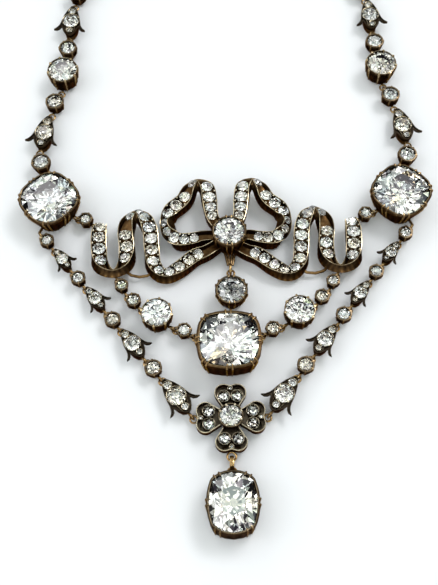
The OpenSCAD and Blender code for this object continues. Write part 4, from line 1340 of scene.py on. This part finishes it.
lay_down(work, "clasp", "gold")

# %% [markdown]
# ## Table and light
# The necklace lies on a plain pale table under soft studio light. A jeweller's photograph needs both
# bright panels, which the facets and rims throw back, and dark gaps between them, which draw the
# facets' edges. The world is a room of bright and dark panes, and the lamps add three panels.

# %% Table
table_mesh = bpy.data.meshes.new("table_top")
work = bmesh.new()
bmesh.ops.create_grid(work, x_segments=1, y_segments=1, size=3.0)
work.to_mesh(table_mesh)
work.free()
table_top = bpy.data.objects.new("table_top", table_mesh)
scene.collection.objects.link(table_top)
table_mesh.materials.append(new_finish(
    "pale_table", {"Base Color": (0.8, 0.808, 0.838, 1), "Roughness": 0.7, "Specular IOR Level": 0.2})[0])

# %% Room
PANE_SCALE = 10.0
PANE_STOPS = [
    (0.0, (0.02, 0.02, 0.025)), (0.32, (0.05, 0.05, 0.055)), (0.39, (0.42, 0.44, 0.45)),
    (0.52, (0.76, 0.79, 0.79)), (0.62, (1.65, 1.68, 1.67)), (1.0, (2.9, 2.94, 2.9))]
PANE_HUE = 0.16
BACKDROP = (0.85, 0.87, 0.88, 1)
world = bpy.data.worlds.new("studio")
world.use_nodes = True
scene.world = world
room = world.node_tree
sky = room.nodes["Background"]
around = add_node(room, "TexCoord")
cells = add_node(room, "TexVoronoi", {"Scale": PANE_SCALE})
tones = add_ramp(room, PANE_STOPS)
hues = add_node(room, "Mix", {"Factor": PANE_HUE}, data_type="RGBA", blend_type="MULTIPLY")
# The eye sees a plain backdrop behind the table, while the stones mirror the room's panes
seen = add_node(room, "LightPath")
backdrop = add_node(room, "Mix", {"B": BACKDROP}, data_type="RGBA")
join(room, [
    (around, "Generated", cells, "Vector"), (cells, "Color", tones, "Fac"), (tones, "Color", hues, "A"),
    (cells, "Color", hues, "B"), (seen, "Is Camera Ray", backdrop, "Factor"),
    (hues, "Result", backdrop, "A"), (backdrop, "Result", sky, "Color")])
print("room of panes in", len(PANE_STOPS), "tones")


# %% Lamps
LAMP_AIM = Vector((0, -0.06, 0))


def panel(name, place, size, power, colour=(1, 1, 1)):
    data = bpy.data.lights.new(name, "AREA")
    data.shape = "RECTANGLE"
    data.size, data.size_y = size
    data.energy = power
    data.color = colour
    lamp = bpy.data.objects.new(name, data)
    scene.collection.objects.link(lamp)
    lamp.location = place
    lamp.rotation_euler = (LAMP_AIM - Vector(place)).to_track_quat("-Z", "Y").to_euler()


panel("window_panel", (0.46, 0.3, 0.8), (0.45, 0.3), 3.55)
panel("left_panel", (-0.6, -0.1, 0.5), (0.3, 0.5), 1.0, (0.95, 0.97, 1))
panel("front_panel", (0.15, -0.75, 0.35), (0.5, 0.12), 0.5, (1, 0.96, 0.9))
scene.view_settings.view_transform = "Standard"
scene.view_settings.look = "None"
